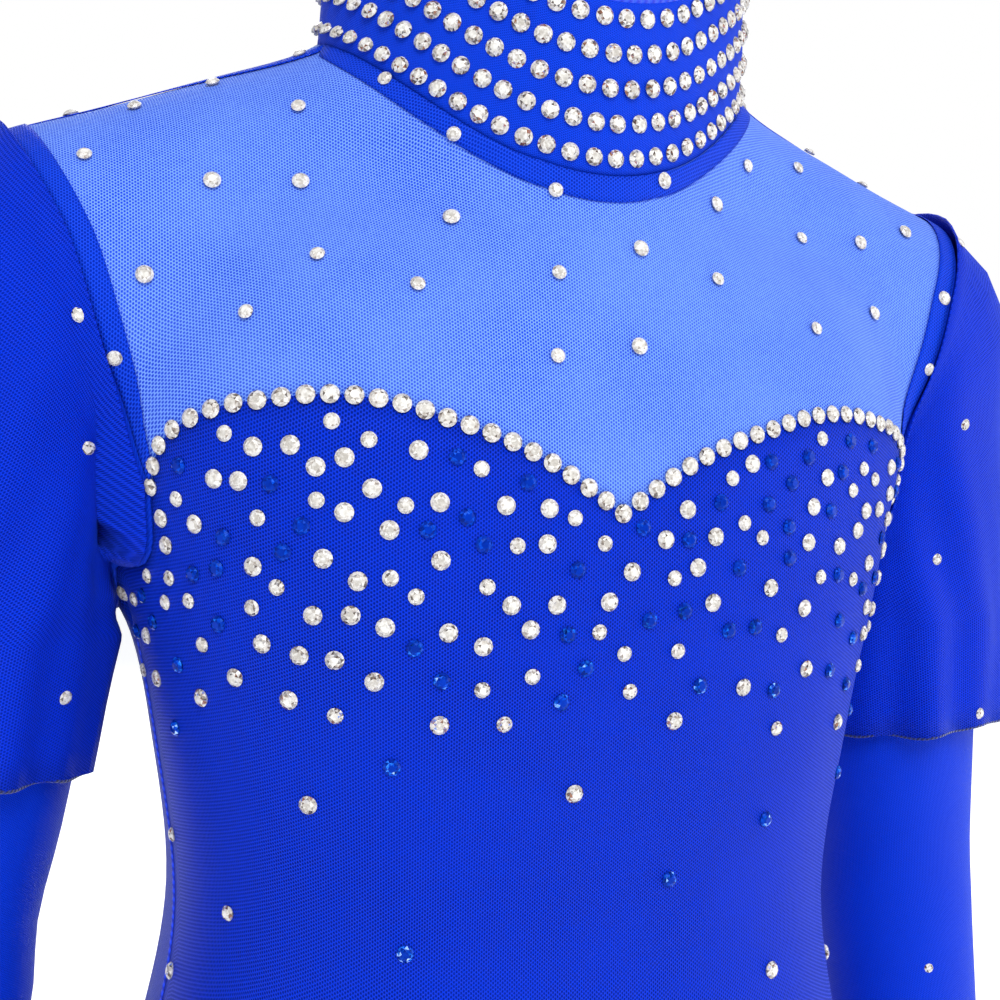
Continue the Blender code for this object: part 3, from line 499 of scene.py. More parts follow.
def collar_grid():
    """Top row and seam row, from the wearer's right of the zip round the front to the left."""
    base = both_sides(collar_seam(FINE))
    top = base.copy()
    middle = base[:, 1].mean()
    shrink = 1 - COLLAR_TAPER / COLLAR_HALF_WIDTH
    ahead = base[:, 1] < middle
    top[:, 1] = np.where(ahead, middle + (base[:, 1] - middle) * shrink, base[:, 1])
    top[:, 1] -= COLLAR_LEAN * COLLAR_HEIGHT
    top[:, 0] *= np.where(np.abs(base[:, 0]) < ZIP_BLEND / 2, 1, shrink)
    top[:, 2] += COLLAR_HEIGHT
    top[:, 1] += zip_share(top) * (zip_y(top[:, 2]) - top[:, 1])
    return np.array([top, base])


def arm_frame(t):
    """Centre, radius and the outer and front directions at a share of the way down the arm."""
    shoulder, elbow, wrist = (np.array(UPPER_ARM[0]), np.array(UPPER_ARM[1]),
                              np.array(FOREARM[1]))
    upper, lower = np.linalg.norm(elbow - shoulder), np.linalg.norm(wrist - elbow)
    at = t * (upper + lower)
    if at < upper:
        share = at / upper
        centre = shoulder + (elbow - shoulder) * share
        radius = UPPER_ARM[2] + (UPPER_ARM[3] - UPPER_ARM[2]) * share
    else:
        share = (at - upper) / lower
        centre = elbow + (wrist - elbow) * share
        radius = FOREARM[2] + (FOREARM[3] - FOREARM[2]) * share
    axis = (wrist - shoulder) / np.linalg.norm(wrist - shoulder)
    out = np.array([1, 0, 0]) - axis[0] * axis
    out /= np.linalg.norm(out)
    return centre, radius, out, np.cross(axis, out)


@lru_cache
def sleeve_grid():
    """Rings from the armhole to the wrist. Column 0 is the shoulder tip, then to the front."""
    loop = np.vstack([part[:-1] for part in armhole(FINE)])
    turn = np.linspace(0, 2 * np.pi, len(loop), endpoint=False)
    cap = CAP_ROWS * FINE

    def ring(t):
        centre, radius, out, front = arm_frame(t)
        return (centre + radius * np.cos(turn)[:, None] * out
                + radius * np.sin(turn)[:, None] * front)

    end = ring(CAP_END)
    rings = [loop]
    for k in range(1, cap):
        share = k / cap
        rings.append(onto((1 - share) * loop + share * end, arm_distance, 6))
    rings += [ring(t) for t in np.linspace(CAP_END, 1, SLEEVE_ROWS * FINE + 1)]
    return np.array(rings)


@lru_cache
def sleeve_normals():
    grid = sleeve_grid()
    n = outward(grid.reshape(-1, 3), arm_distance).reshape(grid.shape)
    cap = CAP_ROWS * FINE
    for k in range(cap):
        share = k / cap
        n[k] = unit((1 - share) * outward(grid[k]) + share * n[k])
    return n


def normals(grid):
    return outward(grid.reshape(-1, 3)).reshape(grid.shape)


def along_columns(grid, distances):
    """Points down each column of a grid, at these distances from its first row."""
    rows = np.empty((len(distances),) + grid.shape[1:])
    for column in range(grid.shape[1]):
        length = arc(grid[:, column])
        for axis in range(3):
            rows[:, column, axis] = np.interp(distances, length, grid[:, column, axis])
    return rows


# ---------------------------------------------------------------- material nodes

class Look:
    """A material under construction: its nodes, its Principled shader and short helpers."""

    def __init__(self, name, colour, roughness=0.6, **sockets):
        self.material = bpy.data.materials.new(name)
        self.material.use_nodes = True
        self.tree = self.material.node_tree
        self.shader = self.tree.nodes["Principled BSDF"]
        self.shader.inputs["Base Color"].default_value = (*colour, 1)
        self.shader.inputs["Roughness"].default_value = roughness
        for socket, value in sockets.items():
            self.shader.inputs[socket.replace("_", " ")].default_value = value

    def node(self, kind, inputs=(), output=0, **settings):
        made = self.tree.nodes.new("ShaderNode" + kind)
        for key, value in settings.items():
            setattr(made, key, value)
        for key, value in dict(inputs).items():
            self.feed(made.inputs[key], value)
        return made.outputs[output]

    def feed(self, socket, value):
        if isinstance(value, bpy.types.NodeSocket):
            self.tree.links.new(value, socket)
        else:
            socket.default_value = value

    def vector(self, operation, a, b=None, output=0):
        inputs = {0: a} if b is None else {0: a, 1: b}
        return self.node("VectorMath", inputs, output, operation=operation)

    def number(self, operation, a, b=0.0):
        return self.node("Math", {0: a, 1: b}, operation=operation)

    def spread(self, value, low, high, to_low=0.0, to_high=1.0):
        return self.node("MapRange", {0: value, 1: low, 2: high, 3: to_low, 4: to_high})

    def mix(self, share, a, b):
        return self.node("Mix", {0: share, 6: a, 7: b}, 2, data_type="RGBA")

    def ramp(self, value, stops, interpolation="LINEAR"):
        made = self.tree.nodes.new("ShaderNodeValToRGB")
        made.color_ramp.interpolation = interpolation
        band = made.color_ramp.elements
        while len(band) < len(stops):
            band.new(0.5)
        for element, (at, colour) in zip(band, stops):
            element.position = at
            element.color = (*colour, 1)
        self.feed(made.inputs[0], value)
        return made.outputs[0]

    def cloth(self):
        """Where a point is on the cut cloth, in metres."""
        return self.node("UVMap", uv_map="Cut")

    def noise(self, scale, detail=2.0, where=None):
        where = where or self.node("TexCoord", output=3)
        return self.node("TexNoise", {"Vector": where, "Scale": scale, "Detail": detail})

    def holes(self, cell):
        """A honeycomb: 0 in the middle of each hole and about 0.58 where three cells meet."""
        root = math.sqrt(3)
        at = self.vector("MULTIPLY", self.cloth(), (1 / (cell * root), 1 / cell, 0))
        near = []
        for shift in (0.0, 0.5):
            part = self.vector("FRACTION", self.vector("ADD", at, (shift, shift, 0)))
            part = self.vector("MULTIPLY", self.vector("SUBTRACT", part, (0.5, 0.5, 0)),
                               (root, 1, 0))
            near.append(self.vector("LENGTH", part, output=1))
        return self.number("MINIMUM", *near)

    def bump(self, height, strength, distance):
        normal = self.node("Bump", {"Height": height, "Strength": strength,
                                    "Distance": distance})
        self.feed(self.shader.inputs["Normal"], normal)

    def colour(self, value):
        self.feed(self.shader.inputs["Base Color"], value)

    def rough(self, value):
        self.feed(self.shader.inputs["Roughness"], value)


def rgb(*values):
    """A colour as a screen shows it, made linear."""
    return tuple(v / 12.92 if v <= 0.04045 else ((v + 0.055) / 1.055) ** 2.4
                 for v in (value / 255 for value in values))


def full(colour):
    return (*colour, 1)


def mesh_look(name, thread, hole, cell, alpha=1.0, sheen=0.12, edge=(0.20, 0.42), depth=0.00025,
              sheen_tint=rgb(60, 110, 255)):
    """Honeycomb stretch mesh: fine threads round small holes, with uneven tension and a painted
    highlight where the threads cross.
    """
    look = Look(name, thread, 0.55, Alpha=alpha, Sheen_Weight=sheen, Sheen_Roughness=0.45,
                Sheen_Tint=full(sheen_tint), Specular_IOR_Level=0.25,
                Specular_Tint=full(rgb(90, 130, 255)))
    cells = look.holes(cell)
    threads = look.spread(cells, *edge)
    # Painted highlight: the threads are made lighter where three cells meet.
    knot_highlight = look.spread(cells, 0.44, 0.56)
    tension = look.spread(look.noise(38.0), 0.35, 0.65)
    ply = look.spread(look.noise(0.6 / cell, 3.0), 0.35, 0.65)
    highlight_colour = tuple(min(1.0, 1.35 * value + 0.02) for value in thread)
    base = look.mix(threads, full(hole), full(thread))
    lit = look.mix(look.number("MULTIPLY", knot_highlight, ply), base, full(highlight_colour))
    darker = look.mix(look.number("MULTIPLY", ply, 0.25), lit, full(hole))
    look.colour(look.mix(look.number("MULTIPLY", tension, 0.16), darker, full(thread)))
    look.rough(look.spread(threads, 0, 1, 0.72, 0.50))
    look.bump(threads, 0.5, depth)
    return look.material


def tricot_look(name, colour, dark):
    """Smooth lining with fine lengthwise wales."""
    look = Look(name, colour, 0.6, Sheen_Weight=0.2, Specular_IOR_Level=0.3)
    at = look.vector("MULTIPLY", look.cloth(), (2200.0, 900.0, 0))
    wales = look.node("TexWave", {"Vector": at, "Scale": 0.3, "Distortion": 0.6})
    share = look.spread(wales, 0, 1, 0, 0.5)
    look.colour(look.mix(share, full(colour), full(dark)))
    look.rough(look.spread(look.noise(400.0), 0.3, 0.7, 0.5, 0.7))
    look.bump(wales, 0.3, 0.0001)
    return look.material


def thread_look(name, colour, light, pitch):
    """Overlocked or ribbed thread: slanting turns along the length of the cloth."""
    look = Look(name, colour, 0.6, Sheen_Weight=0.3, Specular_IOR_Level=0.35)
    at = look.vector("MULTIPLY", look.cloth(), (1 / pitch, 0.45 / pitch, 0))
    turns = look.node("TexWave", {"Vector": at, "Scale": 0.32, "Distortion": 0.4},
                      bands_direction="DIAGONAL")
    look.colour(look.mix(look.spread(turns, 0.1, 0.9), full(colour), full(light)))
    look.rough(look.spread(turns, 0, 1, 0.75, 0.5))
    look.bump(turns, 0.7, 0.0003)
    return look.material


def crystal_look(name, stops, level=0.4, tint=(1, 1, 1)):
    """Cut glass on foil: the facets carry painted reflections, light and dark, and some painted
    glints.
    """
    look = Look(name, stops[0][1], 0.12, IOR=1.6, Specular_IOR_Level=level,
                Specular_Tint=full(tint))
    reflection_shade = look.node("Attribute", output=2, attribute_name="painted_facet_light")
    wander = look.spread(look.noise(900.0), 0.3, 0.7, -0.07, 0.07)
    look.colour(look.ramp(look.number("ADD", reflection_shade, wander), stops))
    look.rough(look.spread(look.noise(2500.0), 0.3, 0.7, 0.04, 0.14))
    return look.material


def steel_look():
    """Brushed plated steel with faint scratches."""
    look = Look("plated_steel", (0.60, 0.61, 0.63), 0.3, Metallic=1.0)
    at = look.vector("MULTIPLY", look.node("TexCoord", output=3), (9000.0, 900.0, 900.0))
    grain = look.node("TexNoise", {"Vector": at, "Scale": 1.0, "Detail": 2.0})
    look.colour(look.mix(grain, (0.52, 0.53, 0.55, 1), (0.72, 0.73, 0.75, 1)))
    look.rough(look.spread(grain, 0.2, 0.8, 0.22, 0.42))
    look.bump(grain, 0.15, 0.00005)
    return look.material


def teeth_look():
    """Moulded nylon with slight mottling."""
    look = Look("moulded_nylon", rgb(4, 26, 110), 0.4, Specular_IOR_Level=0.5)
    grain = look.noise(1500.0)
    look.colour(look.mix(grain, full(rgb(2, 18, 90)), full(rgb(12, 50, 160))))
    look.rough(look.spread(grain, 0.3, 0.7, 0.32, 0.5))
    look.bump(grain, 0.1, 0.00005)
    return look.material


BLUE = rgb(4, 46, 196)
BLUE_DEEP = rgb(0, 16, 105)
# The sheer yoke's blue, made paler by painted light showing through the mesh and by a painted sheen.
SHEER = rgb(116, 156, 246)
SHEER_DEEP = rgb(20, 60, 200)
BAND = rgb(14, 62, 208)
BAND_DEEP = rgb(0, 26, 140)
PETAL_BLUE = rgb(4, 46, 200)
PETAL_DEEP = rgb(0, 20, 125)
SLEEVE_BLUE = rgb(4, 54, 206)
SLEEVE_DEEP = rgb(0, 32, 158)
COLLAR_BLUE = rgb(10, 60, 208)
COLLAR_DEEP = rgb(0, 34, 160)

LOOKS = {
    "body": mesh_look("body_mesh_over_lining", BLUE, BLUE_DEEP, 0.00085),
    "yoke": mesh_look("sheer_yoke_mesh", SHEER, SHEER_DEEP, 0.00085, alpha=0.95,
                      edge=(0.24, 0.44), sheen=0.3, sheen_tint=rgb(150, 180, 255)),
    "sleeve": mesh_look("sleeve_jersey", SLEEVE_BLUE, SLEEVE_DEEP, 0.00060, sheen=0.3,
                        edge=(0.10, 0.50)),
    "petal": mesh_look("petal_mesh", PETAL_BLUE, PETAL_DEEP, 0.00085, sheen=0.2),
    "collar": mesh_look("collar_jersey", COLLAR_BLUE, COLLAR_DEEP, 0.00060,
                        edge=(0.10, 0.50)),
    "band": mesh_look("doubled_mesh", BAND, BAND_DEEP, 0.00085),
    "deep": mesh_look("collar_inside", rgb(0, 40, 170), rgb(0, 20, 110), 0.00060),
    "lining": tricot_look("front_tricot", rgb(0, 48, 205), rgb(0, 30, 165)),
    "gusset": tricot_look("gusset_cotton", rgb(225, 228, 235), rgb(190, 195, 210)),
    "hem": thread_look("navy_overlock", rgb(3, 16, 70), rgb(14, 42, 130), 0.0007),
    "rib": thread_look("blue_binding", rgb(0, 40, 190), rgb(6, 66, 232), 0.0012),
    "twill": thread_look("zip_twill", rgb(0, 28, 150), rgb(4, 52, 200), 0.0008),
    # Clear stones: every stop is a painted reflection, from whites through greys and browns to near
    # black, with red and blue painted glints at the end.
    "clear": crystal_look("clear_crystal", [
        (0.00, (0.70, 0.68, 0.64)), (0.14, (0.40, 0.37, 0.33)), (0.24, (0.74, 0.73, 0.70)),
        (0.34, (0.56, 0.52, 0.47)), (0.42, (0.26, 0.23, 0.20)), (0.50, (0.72, 0.70, 0.67)),
        (0.60, (0.30, 0.25, 0.21)), (0.68, (0.05, 0.035, 0.03)), (0.78, (0.60, 0.58, 0.58)),
        (0.86, (0.02, 0.02, 0.025)), (0.94, (0.30, 0.12, 0.06)), (1.00, (0.12, 0.22, 0.58))]),
    # Sapphires: their own deep blue, with darker and lighter painted reflections and a pale blue
    # painted glint at the end.
    "sapphire": crystal_look("sapphire_crystal", [
        (0.00, (0.001, 0.028, 0.38)), (0.35, (0.001, 0.010, 0.17)), (0.55, (0.002, 0.060, 0.58)),
        (0.72, (0.001, 0.004, 0.06)), (0.86, (0.010, 0.180, 0.90)), (1.00, (0.45, 0.68, 1.00))],
        level=0.2, tint=(0.10, 0.30, 1.00)),
    "steel": steel_look(),
    "teeth": teeth_look(),
    "floor": Look("pale_floor", (0.9, 0.9, 0.9), 0.8, Emission_Color=(1, 1, 1, 1),
                  Emission_Strength=0.45).material,
}


# ---------------------------------------------------------------- building pieces

def add_mesh(name, points, faces, look, uv=None, smooth=True):
    mesh = bpy.data.meshes.new(name)
    mesh.from_pydata(np.asarray(points).tolist(), [], [tuple(map(int, f)) for f in faces])
    if uv is not None:
        layer = mesh.uv_layers.new(name="Cut")
        corners = np.empty(len(mesh.loops), np.int32)
        mesh.loops.foreach_get("vertex_index", corners)
        layer.data.foreach_set("uv", np.asarray(uv, np.float32)[corners].ravel())
    mesh.validate()
    mesh.polygons.foreach_set("use_smooth", [smooth] * len(mesh.polygons))
    mesh.materials.append(LOOKS[look])
    piece = bpy.data.objects.new(name, mesh)
    bpy.context.scene.collection.objects.link(piece)
    return piece


def settle_in(piece, slot, *nodes):
    """The piece rides on the garment and stands for these CAD nodes."""
    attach(piece, BODY)
    if nodes:
        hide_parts(*nodes)
    return piece


def cut_places(points):
    """Where each grid point lies on the flat cloth, measured along rows and columns."""
    across = np.linalg.norm(np.diff(points, axis=1), axis=2)
    down = np.linalg.norm(np.diff(points, axis=0), axis=2)
    u = np.concatenate([np.zeros((len(points), 1)), np.cumsum(across, axis=1)], axis=1)
    v = np.concatenate([np.zeros((1, points.shape[1])), np.cumsum(down, axis=0)], axis=0)
    u -= u[:, u.shape[1] // 2][:, None]
    return np.stack([u, -v], axis=-1)


def wrapped(points):
    """The same for the trunk, wound round it, with the mesh running straight down."""
    x, y, z = points[..., 0], points[..., 1], points[..., 2]
    behind = y > 0.03
    round_by = np.where(behind, np.arctan2(x, y + 0.03), np.arctan2(x, 0.05 - y))
    return np.stack([0.14 * round_by, 0.85 * z + 0.5 * np.abs(y)], axis=-1)


def over_shoulder(points):
    """The same for the yoke, which leans back as it rises to the shoulder."""
    x, y, z = points[..., 0], points[..., 1], points[..., 2]
    return np.stack([1.1 * x, 0.85 * z - 0.5 * np.abs(y)], axis=-1)


def hanging(points):
    """The same for sleeves and petals: round the arm, and straight down it."""
    uv = cut_places(points)
    uv[..., 1] = points[..., 2]
    return uv


def quads(rows, columns):
    r, c = np.meshgrid(np.arange(rows - 1), np.arange(columns - 1), indexing="ij")
    a = (r * columns + c).ravel()
    return np.column_stack([a, a + columns, a + columns + 1, a + 1])


def cloth(name, grid, look, thickness, ring=False, flip=False, places=cut_places):
    """A sheet through the grid, its outer face on the points, thickened inwards."""
    rows, columns = grid.shape[:2]
    uv = places(grid).reshape(-1, 2)
    faces = quads(rows, columns)
    if flip:
        faces = faces[:, ::-1]
    piece = add_mesh(name, grid.reshape(-1, 3), faces, look, uv)
    solid = piece.modifiers.new("thickness", "SOLIDIFY")
    solid.thickness = thickness
    solid.offset = -1
    if ring:
        close(piece)
        piece.modifiers.move(1, 0)
    return piece


def close(piece):
    """Joins the ends of a tube where they meet."""
    piece.modifiers.new("close", "WELD").merge_threshold = WELD_GAP


def declare(grid, hems=()):
    """Works out what the sheet was cut to: its width, length and area as worn, less the stretch; the
    results are not kept.

    The width is the longest row in its middle half, as the first and last rows follow curved edges.
    """
    rows = len(grid)
    middle = grid[rows // 4:rows - rows // 4]
    across = np.linalg.norm(np.diff(middle, axis=1), axis=2).sum(1).max()
    down = np.linalg.norm(np.diff(grid, axis=0), axis=2).sum(0).max()
    one = np.cross(grid[1:, :-1] - grid[:-1, :-1], grid[:-1, 1:] - grid[:-1, :-1])
    two = np.cross(grid[1:, :-1] - grid[1:, 1:], grid[:-1, 1:] - grid[1:, 1:])
    area = (np.linalg.norm(one, axis=2).sum() + np.linalg.norm(two, axis=2).sum()) / 2
    width, length = across * CUT_SHARE, down * CUT_SHARE
    area = float(np.clip(area * CUT_SHARE**2, 0.31 * width * length, width * length))


def sheet(name, grid, look, thickness, slot, node, rests_on, **how):
    """A stretched sheet of cloth that stands for a CAD node; its cut size is worked out but not kept.
    """
    piece = settle_in(cloth(name, grid, look, thickness, **how), slot, node)
    declare(grid)


def tube_points(line, radius, sides, closed):
    if closed:
        way = unit(np.roll(line, -1, 0) - np.roll(line, 1, 0))
    else:
        way = unit(np.gradient(line, axis=0))
    side = np.cross(way[0], [0.30, 0.52, 0.80])
    radius = np.broadcast_to(radius, len(line))
    turn = np.linspace(0, 2 * np.pi, sides + 1)
    rings = []
    for p, t, r in zip(line, way, radius):
        side = side - (side @ t) * t
        side = side / np.linalg.norm(side)
        other = np.cross(t, side)
        rings.append(p + r * (np.cos(turn)[:, None] * side + np.sin(turn)[:, None] * other))
    return np.array(rings)


def cord(name, line, radius, look, sides=8, closed=False):
    """A round thread, piping or binding along a line."""
    if closed:
        rings = tube_points(line, radius, sides, True)
        rings = np.concatenate([rings, rings[:1]])
    else:
        rings = tube_points(line, radius, sides, False)
    length = arc(rings[:, 0])
    count = rings.shape[1]
    around = np.linspace(0, 2 * np.pi * float(np.mean(radius)), count)
    uv = np.stack(np.meshgrid(length, around, indexing="ij"), axis=-1).reshape(-1, 2)
    faces = [tuple(f) for f in quads(len(rings), count)]
    if not closed:
        last = (len(rings) - 1) * count
        faces.append(tuple(range(count - 1)))
        faces.append(tuple(last + k for k in range(count - 1))[::-1])
    piece = add_mesh(name, rings.reshape(-1, 3), faces, look, uv)
    close(piece)
    return piece


def on_side(grid, side):
    return grid if side > 0 else mirror(grid)


SIDES = (("left", 1), ("right", -1))


# ---------------------------------------------------------------- stones

GIRDLE = 16
MAINS = 8


def stone_shape():
    """A flat-backed brilliant of radius 1: girdle, crown ring, table and back."""
    wide = np.linspace(0, 2 * np.pi, GIRDLE, endpoint=False)
    main = np.linspace(0, 2 * np.pi, MAINS, endpoint=False) + np.pi / MAINS
    table = main + np.pi / MAINS
    points = [(math.cos(t), math.sin(t), 0.10) for t in wide]
    points += [(0.74 * math.cos(t), 0.74 * math.sin(t), 0.40) for t in main]
    points += [(0.44 * math.cos(t), 0.44 * math.sin(t), 0.52) for t in table]
    points += [(0.90 * math.cos(t), 0.90 * math.sin(t), -0.10) for t in wide]
    faces = []
    crown, top, back = GIRDLE, GIRDLE + MAINS, GIRDLE + 2 * MAINS
    for k in range(MAINS):
        n = (k + 1) % MAINS
        a, b, c = 2 * k, 2 * k + 1, (2 * k + 2) % GIRDLE
        faces += [(a, b, crown + k), (b, c, crown + k)]
        faces += [(c, crown + n, crown + k), (crown + k, crown + n, top + k)]
        faces += [(top + k, crown + n, top + n)]
    faces.append(tuple(top + k for k in range(MAINS)))
    faces += [(back + k, back + (k + 1) % GIRDLE, (k + 1) % GIRDLE, k) for k in range(GIRDLE)]
    faces.append(tuple(back + k for k in range(GIRDLE))[::-1])
    return np.array(points), faces


STONE_POINTS, STONE_FACES = stone_shape()
TABLE_FACE = 5 * MAINS
RIM_PAINTED_SHADOW = 0.75                 # painted shadow: the side below the facets is painted dark


def stones(name, places, facing, sizes, look, seed, painted_shade_share=None):
    """Many stones in one mesh, each turned at random about its own axis."""
    random = np.random.default_rng(seed)
    count = len(places)
    painted_shade_share = np.ones(count) if painted_shade_share is None else painted_shade_share
    spin = random.uniform(0, 2 * np.pi, count)
    facing = unit(np.asarray(facing))
    helper = np.where(np.abs(facing[:, 2:]) < 0.9, [[0, 0, 1.0]], [[1.0, 0, 0]])
    side = unit(np.cross(helper, facing))
    other = np.cross(facing, side)
    first = np.cos(spin)[:, None] * side + np.sin(spin)[:, None] * other
    second = np.cross(facing, first)
    shape = STONE_POINTS[None] * (np.asarray(sizes) / 2)[:, None, None]
    points = (np.asarray(places)[:, None] + shape[..., :1] * first[:, None]
              + shape[..., 1:2] * second[:, None] + shape[..., 2:] * facing[:, None])
    faces, reflection_shades = [], []
    for k in range(count):
        base = k * len(STONE_POINTS)
        faces += [tuple(base + i for i in face) for face in STONE_FACES]
        # Painted reflections: each facet gets a random painted shade, darker on the whole where the
        # stone's shade share is high; the table gets a light painted reflection and the sides below
        # the facets a painted shadow.
        reflection_shade = random.uniform(0, 1, len(STONE_FACES)) * (0.50 + 0.50 * painted_shade_share[k])
        reflection_shade[TABLE_FACE] *= 0.30
        reflection_shade[TABLE_FACE + 1:] = RIM_PAINTED_SHADOW
        reflection_shades.append(reflection_shade)
    piece = add_mesh(name, points.reshape(-1, 3), faces, look, smooth=False)
    layer = piece.data.attributes.new("painted_facet_light", "FLOAT", "FACE")
    layer.data.foreach_set("value", np.concatenate(reflection_shades).astype(np.float32))
    return piece


def scatter(grid, out, seed, tries, spacing, keep=()):
    """Places on a grid, at least spacing(points) apart and clear of the kept ones."""
    random = np.random.default_rng(seed)
    area = np.linalg.norm(np.cross(grid[1:, :-1] - grid[:-1, :-1],
                                   grid[:-1, 1:] - grid[:-1, :-1]), axis=2).ravel()
    cell = random.choice(len(area), tries, p=area / area.sum())
    row, column = np.divmod(cell, grid.shape[1] - 1)
    down, across = random.uniform(0, 1, (2, tries, 1))

    def at(values):
        upper = values[row, column] * (1 - across) + values[row, column + 1] * across
        lower = values[row + 1, column] * (1 - across) + values[row + 1, column + 1] * across
        return upper * (1 - down) + lower * down

    places, facing = at(grid), at(out)
    needed = spacing(places)
    chosen = []
    taken = [np.asarray(k) for k in keep]
    for k in range(tries):
        if not np.isfinite(needed[k]):
            continue
        if taken and np.min(np.linalg.norm(np.array(taken) - places[k], axis=1)) < needed[k]:
            continue
        taken.append(places[k])
        chosen.append(k)
    return places[chosen], facing[chosen]


# ---------------------------------------------------------------- the garment

def trunk():
    """The opaque body: front and back panels with their linings and side seams."""
    front, back = panel(front_edges, 0.030), panel(back_edges, -0.030)
    front_out, back_out = normals(front), normals(back)
    sheet("front_body", front + front_out * CLOTH_TOP, "body", 0.0008, "blue_knit",
          "front_body_panel", "back_body_panel", places=wrapped)
    sheet("back_body", back + back_out * CLOTH_TOP, "body", 0.0008, "blue_knit",
          "back_body_panel", "front_body", flip=True, places=wrapped)
    rows = LINING_ROWS * FINE + 1
    sheet("front_body_lining", (front + front_out * LINING_TOP)[:rows, 1:-1], "lining", 0.0005,
          "lining", "front_lining", "front_body")
    first = ALONG_LEG * FINE
    across = slice(first + 2, first + ALONG_CROTCH * FINE - 1)
    strip = np.vstack([(front + front_out * LINING_TOP)[rows - 1:, across],
                       (back + back_out * LINING_TOP)[rows - 1:-1, across][::-1]])
    sheet("crotch_lining", strip, "gusset", 0.0005, "lining", "crotch_gusset", "front_body")
    seam = side_seam(FINE)
    seam = seam + outward(seam) * (CLOTH_TOP + 0.0001)
    for name, side in SIDES:
        piece = cord("side_seam_" + name, on_side(seam, side), 0.0005, "rib", 6)
        settle_in(piece, "blue_knit")
    return front, front_out


def yokes():
    """The sheer yoke and its doubled bands."""
    front = panel(yoke_edges, 0.030)
    front_out = normals(front)
    outer = front + front_out * CLOTH_TOP
    piece = cloth("front_yoke_mesh", outer, "yoke", 0.0004, places=over_shoulder)
    settle_in(piece, "sheer_mesh", "front_yoke")
    declare(outer, yoke_bands(front, front_out))
    back = panel(back_yoke_edges, -0.030)
    outer = back + normals(back) * CLOTH_TOP
    for name, side in SIDES:
        grid = on_side(outer, side)
        piece = cloth("back_yoke_mesh_" + name, grid, "yoke", 0.0004, flip=side > 0,
                      places=over_shoulder)
        settle_in(piece, "sheer_mesh", "back_yoke_" + name)
        declare(grid, [zip_tape(name, side)])
    return front, front_out


def yoke_bands(front, front_out):
    """The doubled bands along the collar seam, the shoulder seams and the armholes."""
    lifted = front + front_out * BAND_TOP
    turned = (front + front_out * (BAND_TOP + 0.0002)).swapaxes(0, 1)
    start = ALONG_SHOULDER * FINE
    end = start + 2 * ALONG_HALF_COLLAR * FINE
    collar_part, right, left = lifted[:, start:end + 1], lifted[:, :start + 1], lifted[:, end:]
    return [
        band("collar_seam_band", collar_part, COLLAR_BAND, "collar_seam_tape"),
        band("shoulder_band_right", right, SHOULDER_BAND, "shoulder_seam_tape_right"),
        band("shoulder_band_left", left, SHOULDER_BAND, "shoulder_seam_tape_left"),
        band("armhole_band_right", turned, ARMHOLE_BAND, "armhole_seam_tape_right", flip=True),
        band("armhole_band_left", turned[::-1], ARMHOLE_BAND, "armhole_seam_tape_left"),
    ]


def band(name, grid, width, node, flip=False):
    """A doubled strip of mesh along the first row of a grid."""
    strip = along_columns(grid, width * np.linspace(0, 1, 5))
    piece = cloth(name, strip, "band", 0.0003, flip=flip, places=over_shoulder)
    return settle_in(piece, "doubled_mesh", node)


def zip_tape(name, side):
    """The woven tape along one side of the zip."""
    start, along, out = zip_frame()
    low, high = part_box("zip_tape_left")
    reach = (low.z - start[2]) / along[2] + 0.0004, (high.z - start[2]) / along[2]
    x = side * np.linspace(*ZIP_TAPE, 5)
    up = np.linspace(*reach, 60)
    grid = (start + up[:, None, None] * along + np.stack([x, x * 0, x * 0], -1)[None]
            + out * 0.0012)
    piece = cloth("zip_tape_woven_" + name, grid, "twill", 0.0005, flip=side < 0)
    return settle_in(piece, "doubled_mesh", "zip_tape_" + name)


def collar():
    """The stand collar, its inside, its edge piping and five rows of stones."""
    top, base = collar_grid()
    way = np.cross(np.gradient(base, axis=0), top - base)
    out_top = unit(way)
    out_base = outward(base)
    rows = np.linspace(0, 1, 4 * COLLAR_ROWS + 1)[:, None, None]
    grid = top * (1 - rows) + base * rows
    out = unit(out_top * (1 - rows) + out_base * rows)
    turn = np.linspace(0, 2 * np.pi, grid.shape[1])[None, :, None]
    creases = 0.00035 * np.sin(5 * turn + 1.0) * np.sin(np.pi * rows) * np.sin(9 * rows + turn)
    sheet("stand_collar", grid + out * (CLOTH_TOP + creases), "collar", 0.0012, "blue_knit",
          "collar", "front_yoke_mesh")
    sheet("stand_collar_inside", (grid + out * LINING_TOP)[1:, 4:-4], "deep", 0.0005, "lining",
          "collar_lining", "stand_collar")
    edge = grid[0] + out[0] * (CLOTH_TOP - 0.0006)
    piece = cord("collar_edge_fold", edge, 0.0008, "rib", 6)
    settle_in(piece, "blue_knit")
    for row in range(COLLAR_ROWS):
        share = (row + 0.5) / COLLAR_ROWS
        line = top * (1 - share) + base * share
        away = unit(out_top * (1 - share) + out_base * share)
        line = line + away * (CLOTH_TOP + STONE_LIFT)
        count = int(arc(line)[-1] / COLLAR_PITCH)
        uneven = np.random.default_rng(40 + row).normal(0, 0.00012, count - 1)
        at = np.linspace(0, arc(line)[-1], count + 1)[1:-1] + uneven
        places = np.column_stack([np.interp(at, arc(line), line[:, k]) for k in range(3)])
        facing = np.column_stack([np.interp(at, arc(line), away[:, k]) for k in range(3)])
        piece = stones(f"collar_stones_{row + 1}", places, facing, np.full(len(at), LARGE),
                       "clear", 50 + row, np.full(len(at), 0.9))
        settle_in(piece, "crystal", f"collar_stone_row_{row + 1}")


